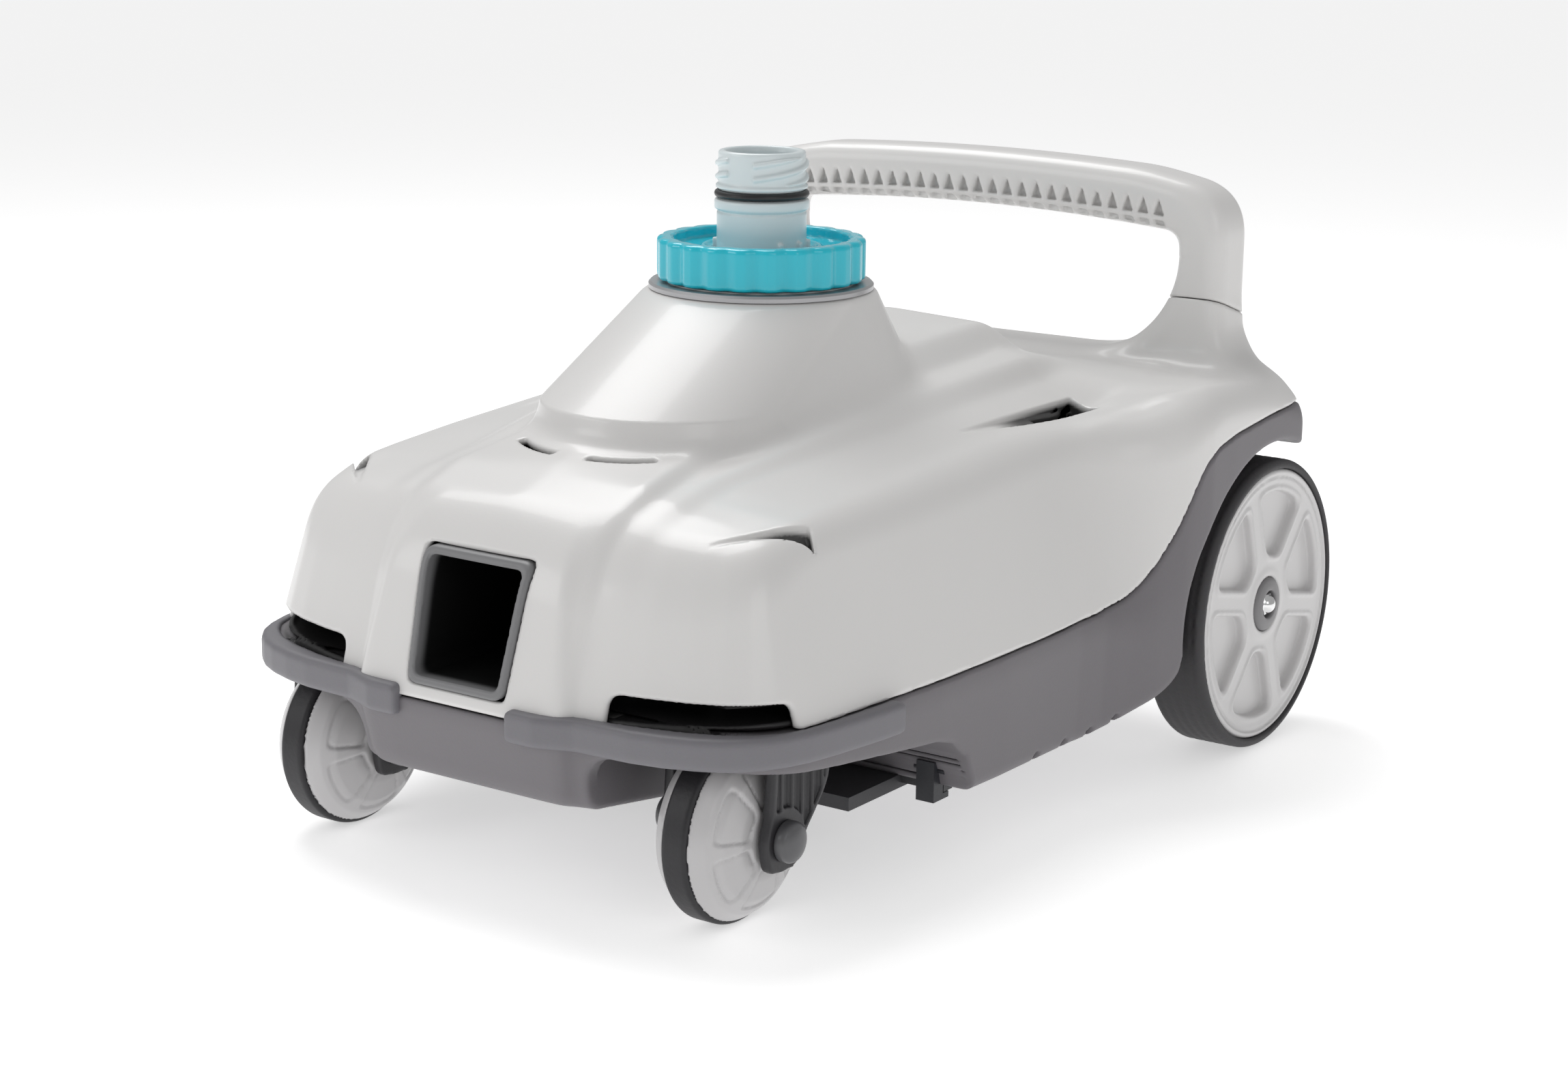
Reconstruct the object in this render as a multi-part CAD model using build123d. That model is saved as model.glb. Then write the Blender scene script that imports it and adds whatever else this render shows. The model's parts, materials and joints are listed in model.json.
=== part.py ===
"""Four-wheeled swimming-pool floor cleaner, driven by the water that a hose brings to its top.

Millimetres. +Z is up, the nozzle mouth faces -Y, and the origin is on the floor under the middle of the box
that holds the cleaner. Left and right are those of someone looking at the nozzle mouth: right is +X.
"""
import os
from math import acos, atan2, cos, pi, radians, sin, tan

from build123d import *

# ---------------------------------------------------------------- driving dimensions
WALL = 3.0                     # moulded wall of the cover and the chassis
GAP = 0.3                      # gap round a part that drops into an opening
RUN = 0.05                     # radial running clearance of a shaft in a hole

# body, as (y, half width at the joint line, crown height, shoulder height, shoulder half width)
BODY = [(-226, 56, 88, 86.5, 40), (-218, 84, 112, 108, 60), (-211, 110, 134, 127, 84),
        (-203, 124, 149, 139, 99), (-190, 134, 160, 147, 112), (-168, 140, 170, 153, 118),
        (-122, 145.5, 180, 157, 122), (-40, 149, 194, 160, 124), (20, 149.5, 199, 162, 125),
        (50, 156, 202, 165, 128),
        (75, 166, 202, 169, 134), (100, 172, 198, 172, 144), (125, 172, 190, 173, 152),
        (150, 172, 182, 173, 158), (194, 172, 178, 172, 160)]
JOINT_LINE = [(-240, 86), (20, 86), (34, 89), (50, 93), (58, 98), (65, 104), (71, 111), (78, 121), (84, 132),
              (90, 143), (95, 150), (103, 155), (120, 159), (155, 163), (210, 164)]      # (y, z)
UNDERSIDE = [(-240, 60), (-222, 47), (-200, 44), (-112, 31), (32, 31), (53, 36), (72, 43), (86, 56),
             (150, 56), (176, 58), (204, 93)]                                             # (y, z)
BODY_BACK = BODY[-1][0]
JOINT_Z = 86.0
FLOOR_Z = 31.0

# rear wheels
REAR_R = 70.0
REAR_W = 30.0
REAR_RIM_R = 65.4
REAR_X = 157.0                 # middle of the tread
REAR_Y = 162.0
REAR_AXLE_R = 4.0
REAR_BUSH_R = 6.0
REAR_CAP_R = 13.0
REAR_NUT_R = 5.8
REAR_POCKETS = 6
ARCH_GAP = 9.0                 # between tyre and wheel arch
WELL_GAP = 4.0                 # between tyre and the inner face of its well

# steered front wheels
FRONT_R = 38.8
FRONT_X = 103.0
FRONT_Y = -178.5
FRONT_BAND_W = 12.0
FRONT_HALF_W = 20.5            # half width of the wheel over its hubs
FRONT_PIN_R = 3.0
FRONT_CAP_R = 9.5
STEER_Y = -168.0               # vertical steering axis
STEER_STEM_R = 7.0
STEER_SLEEVE_TOP = 112.0
FORK_GAP = 1.5                 # between wheel hub and fork leg
FORK_LEG = 5.0                 # thickness of a fork leg
FORK_UNDER = 1.4               # between the wheel's top and the fork crown
FORK_CROWN = 3.6
BAY_ROOF = 2.6                 # thickness of the roof of a front wheel bay
BAY_INNER = 60.0               # inner side of a front wheel bay
BAY_BACK = -104.0
LATCH_BAY_BACK = -58.0
LATCH_BAY_INNER = 116.0

# bumpers, as (x, y) points of the outer face
BUMPER_FACE = [(28.5, -232), (44, -232), (59, -226), (86, -224), (113, -217), (128.5, -207.5), (139.5, -192),
               (146, -168), (150, -140), (151.5, -123)]
BUMPER_TOP = 86.8
BUMPER_BOTTOM = 73.3

# hose connection
HOSE_Y = -16.5                 # vertical axis of the hose connection
TURRET_TOP = 228.0
TURRET_R = 51.5
TURRET_DRAFT = 25.0            # degrees
TOE_Y = -84.0                  # centre of the turret's rounded toe
TOE_R = 57.0
TOE_Z = 186.0
RING_R = 50.6
RING_T = 2.8
COLLAR_R = 43.0
COLLAR_T = 3.2
COLLAR_THREAD_R = 41.0
COLLAR_CUP_R = 37.5
COLLAR_TUBE_R = 24.0
COLLAR_BORE_R = 19.6
GASKET_T = 2.0
HOSE_FLANGE_R = 37.0
HOSE_FLANGE_T = 3.2
HOSE_R = 19.5                  # outside of the hose tail
HOSE_BORE_R = 15.5
HOSE_TOP = 289.0
ORING_R = 21.25                # outside of the O-ring
ORING_D = 3.4
ORING_Z = 269.8
THREAD_STARTS = 4
NUT_R = 46.8
NUT_TOP = 250.6
NUT_FLUTES = 22
NUT_PLATE = 3.0
NUT_PLAY = 0.4                 # end play of the nut

# handle
HANDLE_FRONT = 160.0
HANDLE_BACK = 192.0
HANDLE_HALF = 138.0            # outside of the legs
HANDLE_TOP = 274.0             # middle of the arched top
HANDLE_LEG = 26.0
HANDLE_GRIP = 26.5             # depth of the grip
HANDLE_SAG = 4.0               # fall of the arched top from its middle to its ends
HAND_TOP_R = 14.0              # corners of the hand opening
HAND_LOW_R = 40.0
HANDLE_FOOT_Z = 178.0          # bottom of the hand opening
SEAM_Z = 213.0                 # joint of grip and legs at the front face
SEAM_SLOPE = 0.34
GRIP_POCKETS = 24
GRIP_PITCH = 8.4

# nozzles and water box
MOUTH = (24.5, 138.5, 21.0, 92.0)      # front mouth: top half width, top, bottom half width, bottom
OUTLET = (20.0, 134.0, 20.0, 96.0)     # rear outlet, in the same order
DUCT_WALL = 2.5
RIM = 4.2
BOX_FRONT = -62.0
BOX_BACK = 29.0
BOX_HALF = 29.0
BOX_WALL = 3.0
BOX_BOTTOM = 82.0
BOX_SHOULDER = 146.0
BOX_TOP = 200.0
TURBINE_Z = 172.0
TURBINE_R = 22.0
TURBINE_HALF = 20.0
TURBINE_BLADES = 8
SHAFT_R = 2.0
FLAP_Z = 93.0                  # flap pivot
FLAP_H = 40.0
FLAP_T = 2.4
FLAP_SWING = 18.0              # degrees each way
SEAT_T = 2.5
LEVER = 14.0

# gears
MODULE = 0.8
PINION_TEETH = 18
WHEEL_TEETH = 45
GEAR_W = 5.0
GEAR_GAP = 1.0                 # between the two gear planes
BACKLASH = 0.15
PRESSURE = radians(20)
CENTRES = MODULE * (PINION_TEETH + WHEEL_TEETH) / 2
CASE_X = BOX_HALF
CASE_WALL = 2.0
GEAR_PIN_R = 1.5

# suction plate under the body and its latches
PLATE_HALF = 108.0
PLATE_FRONT, PLATE_BACK = -101.0, -51.0
PLATE_Z = 25.0
SLOT_HALF = 60.0
LATCH_X = 125.0
LATCH_HALF = 4.5
LATCH_Y, LATCH_Z = -64.0, 38.0
LATCH_PIN_R = 1.5

# screws joining chassis and cover, as (x, y)
SCREWS = [(40, -205), (90, 20), (60, 138)]
SCREW_R = 2.0
SCREW_HEAD_R = 3.6
SCREW_BOSS_R = 5.0
SCREW_SEAT = 70.0
SCREW_TIP = 98.0

os.makedirs("parts", exist_ok=True)


# ---------------------------------------------------------------- helpers
def block(x0, x1, y0, y1, z0, z1):
    """A box between two corners."""
    return Pos((x0 + x1) / 2, (y0 + y1) / 2, (z0 + z1) / 2) * Box(x1 - x0, y1 - y0, z1 - z0)


def rod_x(x0, x1, y, z, r):
    """A cylinder along X."""
    return Pos((x0 + x1) / 2, y, z) * Rot(0, 90, 0) * Cylinder(r, x1 - x0)


def rod_z(x, y, z0, z1, r):
    """A cylinder along Z."""
    return Pos(x, y, (z0 + z1) / 2) * Cylinder(r, z1 - z0)


def across(points, x0, x1):
    """A (y, z) outline carried along X from x0 to x1."""
    face = make_face(Polyline(*[(x0, y, z) for y, z in points], close=True))
    return extrude(face, amount=x1 - x0, dir=(1, 0, 0))


def along(points, y0, y1):
    """An (x, z) outline carried along Y from y0 to y1."""
    face = make_face(Polyline(*[(x, y0, z) for x, z in points], close=True))
    return extrude(face, amount=y1 - y0, dir=(0, 1, 0))


def spin_x(points, x, y, z):
    """An (along X, radius) outline turned about an X axis through (x, y, z)."""
    face = make_face(Polyline(*[(a, r, 0) for a, r in points], close=True))
    return Pos(x, y, z) * revolve(face, Axis.X, 360)


def mirrored(shape):
    """The same piece on the other side."""
    return shape.mirror(Plane.YZ)


def solids_of(shape):
    """One solid, or a compound of the solids in a shape or a list of shapes."""
    parts = shape if isinstance(shape, (list, tuple)) else [shape]
    found = [solid for part in parts for solid in part.solids()]
    return Compound(children=found) if len(found) > 1 else found[0]


def save(name, shape):
    export_step(solids_of(shape), f"parts/{name}.step")


def both(name, right):
    """Writes the right-hand piece and its mirror image."""
    save(f"{name}_right", right)
    save(f"{name}_left", mirrored(solids_of(right)))


# ---------------------------------------------------------------- body skin
def skin(inset):
    """The body's outer form, or the same form drawn in by a wall, as a half and its mirror image."""
    stations = []
    for place, (y, half, crown, shoulder_z, shoulder_x) in enumerate(BODY):
        half, crown = half - inset, crown - inset
        shoulder_z, shoulder_x = shoulder_z - inset, shoulder_x - inset
        if place == 0:
            y += inset
        if place == len(BODY) - 1:
            y -= inset
        low, base = FLOOR_Z - 6, JOINT_Z - 4
        roof = Spline((0, y, crown), (shoulder_x, y, shoulder_z), (half, y, base),
                      tangents=((1, 0, 0), (0.15, 0, -1)))
        frame = Polyline((half, y, base), (half - 2, y, low), (0, y, low), (0, y, crown))
        stations.append(make_face(Wire([roof.edge(), *frame.edges()])))
    right = loft(stations, ruled=True)
    return right + mirrored(right)


def underside(inset):
    """Everything above the chassis's stepped underside."""
    line = [(y, z + inset) for y, z in UNDERSIDE]
    return across([*line, (line[-1][0], 300), (line[0][0], 300)], -200, 200)


def above_joint():
    return across([*JOINT_LINE, (JOINT_LINE[-1][0], 330), (JOINT_LINE[0][0], 330)], -200, 200)


def below_joint():
    return across([*JOINT_LINE, (JOINT_LINE[-1][0], 0), (JOINT_LINE[0][0], 0)], -200, 200)


def turret(inset):
    """The raised housing under the hose connection, with its toe drawn out to the front."""
    top, low = TURRET_TOP - inset, 160.0
    spread = tan(radians(TURRET_DRAFT))
    cone = loft([Pos(0, HOSE_Y, top) * Circle(TURRET_R - inset + inset * spread),
                 Pos(0, HOSE_Y, low) * Circle(TURRET_R - inset + (TURRET_TOP - low) * spread)])
    slope = loft([Pos(0, HOSE_Y, top) * Circle(TURRET_R - inset - 3),
                  Pos(0, TOE_Y, TOE_Z - inset) * Circle(TOE_R - inset)])
    half = TOE_R - inset
    toe = rod_z(0, TOE_Y, low, TOE_Z - inset, half)
    return cone + slope + toe + block(-half, half, TOE_Y, HOSE_Y, low, TOE_Z - inset)


def crowned(half, y0, y1, z0, z1):
    """A block of half width half, whose top is an arc falling by HANDLE_SAG to its ends."""
    top = ThreePointArc((-half, y0, z1 - HANDLE_SAG), (0, y0, z1), (half, y0, z1 - HANDLE_SAG))
    sides = Polyline((half, y0, z1 - HANDLE_SAG), (half, y0, z0), (-half, y0, z0), (-half, y0, z1 - HANDLE_SAG))
    return extrude(make_face(Curve() + [top, sides]), amount=y1 - y0, dir=(0, 1, 0))


def handle(inset):
    """The carrying handle, legs and grip in one, before it is parted at its seam."""
    half, inner = HANDLE_HALF - inset, HANDLE_HALF - HANDLE_LEG + inset
    y0, y1 = HANDLE_FRONT + inset, HANDLE_BACK - inset
    arch = block(-half, half, y0, y1, 165 - inset, HANDLE_TOP - inset)
    arch = fillet(arch.edges().filter_by(Axis.Y).group_by(Axis.Z)[-1], 24 - inset)
    arch &= crowned(half, y0, y1, 160 - inset, HANDLE_TOP - inset)
    hand = crowned(inner, HANDLE_FRONT - 20, HANDLE_BACK + 20, HANDLE_FOOT_Z - inset,
                   HANDLE_TOP - HANDLE_GRIP + inset)
    hand = fillet(hand.edges().filter_by(Axis.Y).group_by(Axis.Z)[0], HAND_LOW_R + inset)
    hand = fillet(hand.edges().filter_by(Axis.Y).group_by(Axis.Z)[-1], HAND_TOP_R + inset)
    return arch - hand


def foot(inset):
    """The right-hand leg's flared foot."""
    leg_x = HANDLE_HALF - HANDLE_LEG / 2
    mid_y = (HANDLE_FRONT + HANDLE_BACK) / 2
    depth = HANDLE_BACK - HANDLE_FRONT
    ankle = Pos(leg_x, mid_y, 206) * Rectangle(HANDLE_LEG - 2 * inset, depth - 2 * inset)
    sole = Rectangle(HANDLE_LEG + 24 - 2 * inset, depth + 3 - 2 * inset)
    return loft([ankle, Pos(leg_x + 10, mid_y, 168 - inset) * sole])


def above_seam(drop=0.0):
    front, back = 100, 260
    z0 = SEAM_Z - SEAM_SLOPE * (front - HANDLE_FRONT) - drop
    z1 = SEAM_Z - SEAM_SLOPE * (back - HANDLE_FRONT) - drop
    return across([(front, z0), (back, z1), (back, 330), (front, 330)], -200, 200)


def rear_well(grow):
    """The space round a right-hand rear wheel, grown by a wall where the wall is wanted."""
    inner = REAR_X - REAR_W / 2 - WELL_GAP - grow
    r = REAR_R + ARCH_GAP + grow
    arch = rod_x(inner, 190, REAR_Y, REAR_R, r)
    below = block(inner, 190, REAR_Y - r, REAR_Y + 80, -5, REAR_R)
    behind = block(inner, 190, REAR_Y, REAR_Y + 80, -5, 143 + grow)
    return arch + below + behind


def front_bay(grow):
    """The space round a right-hand front wheel and its fork, with the latch's corner behind it."""
    wheel = block(BAY_INNER - grow, 150 + grow, -240, BAY_BACK + grow, -5, JOINT_Z - BAY_ROOF)
    latch = block(LATCH_BAY_INNER - grow, 150 + grow, -240, LATCH_BAY_BACK + grow, -5, 60)
    return wheel + latch


def skirt_cut():
    """Cuts the chassis skirt back beside a right-hand front wheel."""
    front = across([(-240, -5), (-240, 71), (-190, 70), (-110, 62), (BAY_BACK, 61), (BAY_BACK, -5)],
                   BAY_INNER, 165)
    back = across([(BAY_BACK - 1, -5), (BAY_BACK - 1, 61), (-92, 60), (-76, 54), (-68, 46), (-64, 36),
                   (-63, -5)], LATCH_BAY_INNER, 165)
    return front + back


def passage(size, y0, y1, grow):
    """A nozzle's tapered passage, carried along Y."""
    top_half, top, low_half, low = size
    return along([(-top_half - grow, top + grow), (top_half + grow, top + grow),
                  (low_half + grow, low - grow), (-low_half - grow, low - grow)], y0, y1)


def vents():
    """The slots in the cover: one by the shoulder, one on the deck and one round the turret's toe."""
    front = Pos(113, -166, 150) * Rot(0, 0, 47) * Box(34, 7, 34)
    rear = Pos(112, 40, 168) * Rot(0, 0, 84) * Box(80, 9, 30)
    ring = rod_z(0, TOE_Y - 12, 160, 185, TOE_R + 6) - rod_z(0, TOE_Y - 12, 160, 185, TOE_R + 2)
    sector = extrude(make_face(Polyline((10, -180, 160), (52, -180, 160), (32, TOE_Y - 30, 160),
                                        (6, TOE_Y - 30, 160), close=True)), amount=25, dir=(0, 0, 1))
    return front + rear + (ring & sector)


def corner_slot():
    """The slot over a right-hand bumper."""
    return block(80, 137, -240, -184, JOINT_Z + 0.8, 97)


def make_body():
    """Cover, chassis and grip."""
    outer_body = skin(0) & underside(0)
    inner_body = skin(WALL) & underside(WALL)
    arch = handle(0)
    leg_part = arch - above_seam()
    feet = foot(0) - above_seam()
    outer = outer_body + turret(0) + leg_part + feet + mirrored(feet)
    hollow_feet = foot(WALL)
    inner = inner_body + turret(WALL) + handle(WALL) + hollow_feet + mirrored(hollow_feet)
    ducts = (passage(MOUTH, -240, BOX_FRONT, DUCT_WALL + GAP)
             + passage(OUTLET, BOX_BACK, 210, DUCT_WALL + GAP))

    bosses = [rod_z(x * side, y, JOINT_Z + GAP, 215, SCREW_BOSS_R) for x, y in SCREWS for side in (1, -1)]
    cover = outer - inner
    for boss in bosses:
        cover += boss & outer_body
    cover = cover & above_joint()
    slots = vents() + corner_slot()
    cover = cover - ducts - slots - mirrored(slots)
    cover -= rod_z(0, HOSE_Y, 215, 240, COLLAR_TUBE_R + GAP)
    for x, y in SCREWS:
        for side in (1, -1):
            cover -= rod_z(x * side, y, JOINT_Z - 5, SCREW_TIP + 1, SCREW_R)
    save("top_cover", cover)

    bay_top = JOINT_Z
    walls = (front_bay(WALL) + block(BAY_INNER - WALL, 150 + WALL, -240, BAY_BACK + WALL, 60, bay_top))
    well = rear_well(WALL)
    lining = (walls + well) & outer_body
    shell = (outer_body - inner_body) + lining + mirrored(lining)
    sleeve = rod_z(FRONT_X, STEER_Y, JOINT_Z - BAY_ROOF, STEER_SLEEVE_TOP, STEER_STEM_R + 5)
    axle_boss = rod_x(REAR_X - 57, REAR_X - REAR_W / 2 - 0.5, REAR_Y, REAR_R, REAR_AXLE_R + 5)
    web = block(REAR_X - 57, REAR_X - REAR_W / 2 - WELL_GAP - 1, REAR_Y - 2, REAR_Y + 2, 58, 130)
    extras = axle_boss + web
    posts = [rod_z(x * side, y, FLOOR_Z - 5, JOINT_Z, SCREW_BOSS_R) for x, y in SCREWS for side in (1, -1)]
    chassis = shell & below_joint()
    cut = rear_well(0) + front_bay(0) + skirt_cut()
    chassis = chassis - cut - mirrored(cut)
    chassis = chassis + sleeve + mirrored(sleeve) + extras + mirrored(extras)
    for post in posts:
        chassis += post & outer_body
    ears = block(LATCH_X - 7.5, LATCH_X - 5, LATCH_Y - 6, LATCH_BAY_BACK + 1, 33, 43)
    ears += block(LATCH_X + 5, LATCH_X + 7.5, LATCH_Y - 6, LATCH_BAY_BACK + 1, 33, 43)
    ears -= rod_x(LATCH_X - 9, LATCH_X + 9, LATCH_Y, LATCH_Z, LATCH_PIN_R + RUN)
    chassis = chassis + ears + mirrored(ears)
    chassis -= rod_x(-190, 190, REAR_Y, REAR_R, REAR_AXLE_R)
    chassis -= ducts
    chassis -= block(-SLOT_HALF - 3, SLOT_HALF + 3, PLATE_FRONT + 12, PLATE_BACK - 12,
                     FLOOR_Z - 1, FLOOR_Z + WALL + 1)
    for side in (1, -1):
        chassis -= rod_z(FRONT_X * side, STEER_Y, JOINT_Z - 10, 130, STEER_STEM_R + RUN)
        for x, y in SCREWS:
            chassis -= rod_z(x * side, y, SCREW_SEAT - 5, JOINT_Z + 5, SCREW_R + 0.2)
            chassis -= rod_z(x * side, y, FLOOR_Z - 6, SCREW_SEAT, SCREW_HEAD_R + 0.3)
    save("bottom_housing", chassis)

    grip = arch & above_seam()
    grip = grip - make_grip_pockets()
    plug = handle(WALL + GAP) & (above_seam(12) - above_seam(-0.5))
    save("handle_grip", grip + plug)

    screw = rod_z(0, 0, SCREW_SEAT, SCREW_TIP, SCREW_R)
    screw += rod_z(0, 0, SCREW_SEAT - 3, SCREW_SEAT, SCREW_HEAD_R)
    save("housing_screws", [Pos(x * side, y, 0) * screw for x, y in SCREWS for side in (1, -1)])


def make_grip_pockets():
    """Two rows of cored recesses on the front of the grip, which follow the arch of its lower edge."""
    pockets = []
    for i in range(GRIP_POCKETS):
        x = (i - (GRIP_POCKETS - 1) / 2) * GRIP_PITCH
        z0 = HANDLE_TOP - HANDLE_GRIP - HANDLE_SAG * (x / (HANDLE_HALF - HANDLE_LEG)) ** 2
        tri = make_face(Polyline((x - 2.6, HANDLE_FRONT - 1, z0 + 6.7), (x + 2.6, HANDLE_FRONT - 1, z0 + 6.7),
                                 (x, HANDLE_FRONT - 1, z0 + 13.7), close=True))
        pockets.append(extrude(tri, amount=6, dir=(0, 1, 0)))
        pockets.append(block(x - 2.4, x + 2.4, HANDLE_FRONT - 1, HANDLE_FRONT + 3, z0 + 2, z0 + 4.6))
    return Compound(children=pockets)


# ---------------------------------------------------------------- bumpers
def make_bumpers():
    """The two resilient strips round the front corners."""
    inside = [(BUMPER_FACE[-1][0] - 20, BUMPER_FACE[-1][1]), (100, -190), (BUMPER_FACE[0][0], -210)]
    outline = Polyline(*[(x, y, BUMPER_BOTTOM) for x, y in BUMPER_FACE + inside], close=True)
    strip = extrude(make_face(outline), amount=BUMPER_TOP - BUMPER_BOTTOM, dir=(0, 0, 1))
    both("bumper", strip - skin(-GAP))


# ---------------------------------------------------------------- nozzles
def make_nozzles():
    """The front and rear nozzles, each a duct with a rim lying on the body."""
    near = skin(-1.5)
    duct = passage(MOUTH, -240, BOX_FRONT, DUCT_WALL) - passage(MOUTH, -241, BOX_FRONT + 1, 0)
    rim = passage(MOUTH, -240, -190, RIM) - passage(MOUTH, -241, -180, 0)
    save("front_nozzle", (duct & near) + (rim & near - skin(-0.1)))
    duct = passage(OUTLET, BOX_BACK, BODY_BACK + 2, DUCT_WALL)
    duct -= passage(OUTLET, BOX_BACK - 1, BODY_BACK + 3, 0)
    rim = passage(OUTLET, BODY_BACK, BODY_BACK + 2, RIM) - passage(OUTLET, BODY_BACK - 1, BODY_BACK + 3, 0)
    save("rear_nozzle", duct + rim)


# ---------------------------------------------------------------- hose connection
def round_z(points):
    """A (radius, z) outline turned about the hose axis."""
    face = make_face(Polyline(*[(r, 0, z) for r, z in points], close=True))
    return Pos(0, HOSE_Y, 0) * revolve(face, Axis.Z, 360)


def make_hose_connection():
    """Ring, collar, gasket, lock nut, hose adapter and O-ring, stacked on the turret."""
    floor = TURRET_TOP + COLLAR_T
    seat = floor + GASKET_T + GAP
    flange_top = seat + HOSE_FLANGE_T
    plate = flange_top + NUT_PLAY
    ring_top = TURRET_TOP + RING_T
    save("flange_ring", round_z([(COLLAR_R + GAP, TURRET_TOP), (RING_R, TURRET_TOP), (RING_R, ring_top - 1),
                                 (RING_R - 1, ring_top), (COLLAR_R + GAP, ring_top)]))
    tube_end = BOX_TOP - BOX_WALL
    save("hose_collar", round_z([(COLLAR_BORE_R, tube_end), (COLLAR_TUBE_R, tube_end),
                                 (COLLAR_TUBE_R, TURRET_TOP), (COLLAR_R, TURRET_TOP), (COLLAR_R, floor),
                                 (COLLAR_THREAD_R, floor), (COLLAR_THREAD_R, flange_top),
                                 (COLLAR_CUP_R, flange_top), (COLLAR_CUP_R, floor), (COLLAR_BORE_R, floor)]))
    save("collar_gasket", round_z([(26, floor), (34, floor), (34, floor + GASKET_T), (26, floor + GASKET_T)]))

    nut_low = floor + NUT_PLAY
    nut = round_z([(COLLAR_THREAD_R + NUT_PLAY, nut_low), (NUT_R, nut_low), (NUT_R, NUT_TOP - 1),
                   (NUT_R - 1, NUT_TOP), (NUT_R - 9, NUT_TOP), (NUT_R - 11, plate + NUT_PLATE),
                   (ORING_R + 1, plate + NUT_PLATE), (ORING_R + 1, plate),
                   (COLLAR_THREAD_R + NUT_PLAY, plate)])
    flute = rod_z(NUT_R + 2.6, 0, nut_low - 1, NUT_TOP + 1, 4.2)
    for i in range(NUT_FLUTES):
        nut -= Pos(0, HOSE_Y, 0) * Rot(0, 0, i * 360 / NUT_FLUTES) * flute
    save("lock_nut", nut)

    groove = Pos(0, HOSE_Y, ORING_Z) * Torus(ORING_R - ORING_D / 2, ORING_D / 2)
    neck = HOSE_R + 0.5
    tail = round_z([(HOSE_BORE_R, seat - 12), (COLLAR_BORE_R - RUN, seat - 12), (COLLAR_BORE_R - RUN, seat),
                    (HOSE_FLANGE_R, seat), (HOSE_FLANGE_R, flange_top), (neck, flange_top), (neck, 256),
                    (HOSE_R, 258), (HOSE_R, 262.5), (HOSE_R + 1.5, 264), (HOSE_R + 1.5, 266.8),
                    (HOSE_R, 267.6), (HOSE_R, HOSE_TOP - 2),
                             (HOSE_R - 0.8, HOSE_TOP), (HOSE_BORE_R, HOSE_TOP)])
    ribs = []
    rib_height = 255 - flange_top
    rib = Pos(neck, 0, flange_top + rib_height / 2) * Box(1.6, 1.4, rib_height)
    for i in range(30):
        ribs.append(Rot(0, 0, i * 12) * rib)
    for start in range(THREAD_STARTS):
        for step in range(11):
            turn = start * 360 / THREAD_STARTS + step * 6
            ribs.append(Rot(0, 0, turn) * Pos(HOSE_R + 0.4, 0, 277 + step * 0.8) * Box(2.2, 2.6, 2.6))
    for rib in ribs:
        tail += Pos(0, HOSE_Y, 0) * rib
    save("hose_adapter", tail - groove)
    save("adapter_o_ring", groove)


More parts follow.
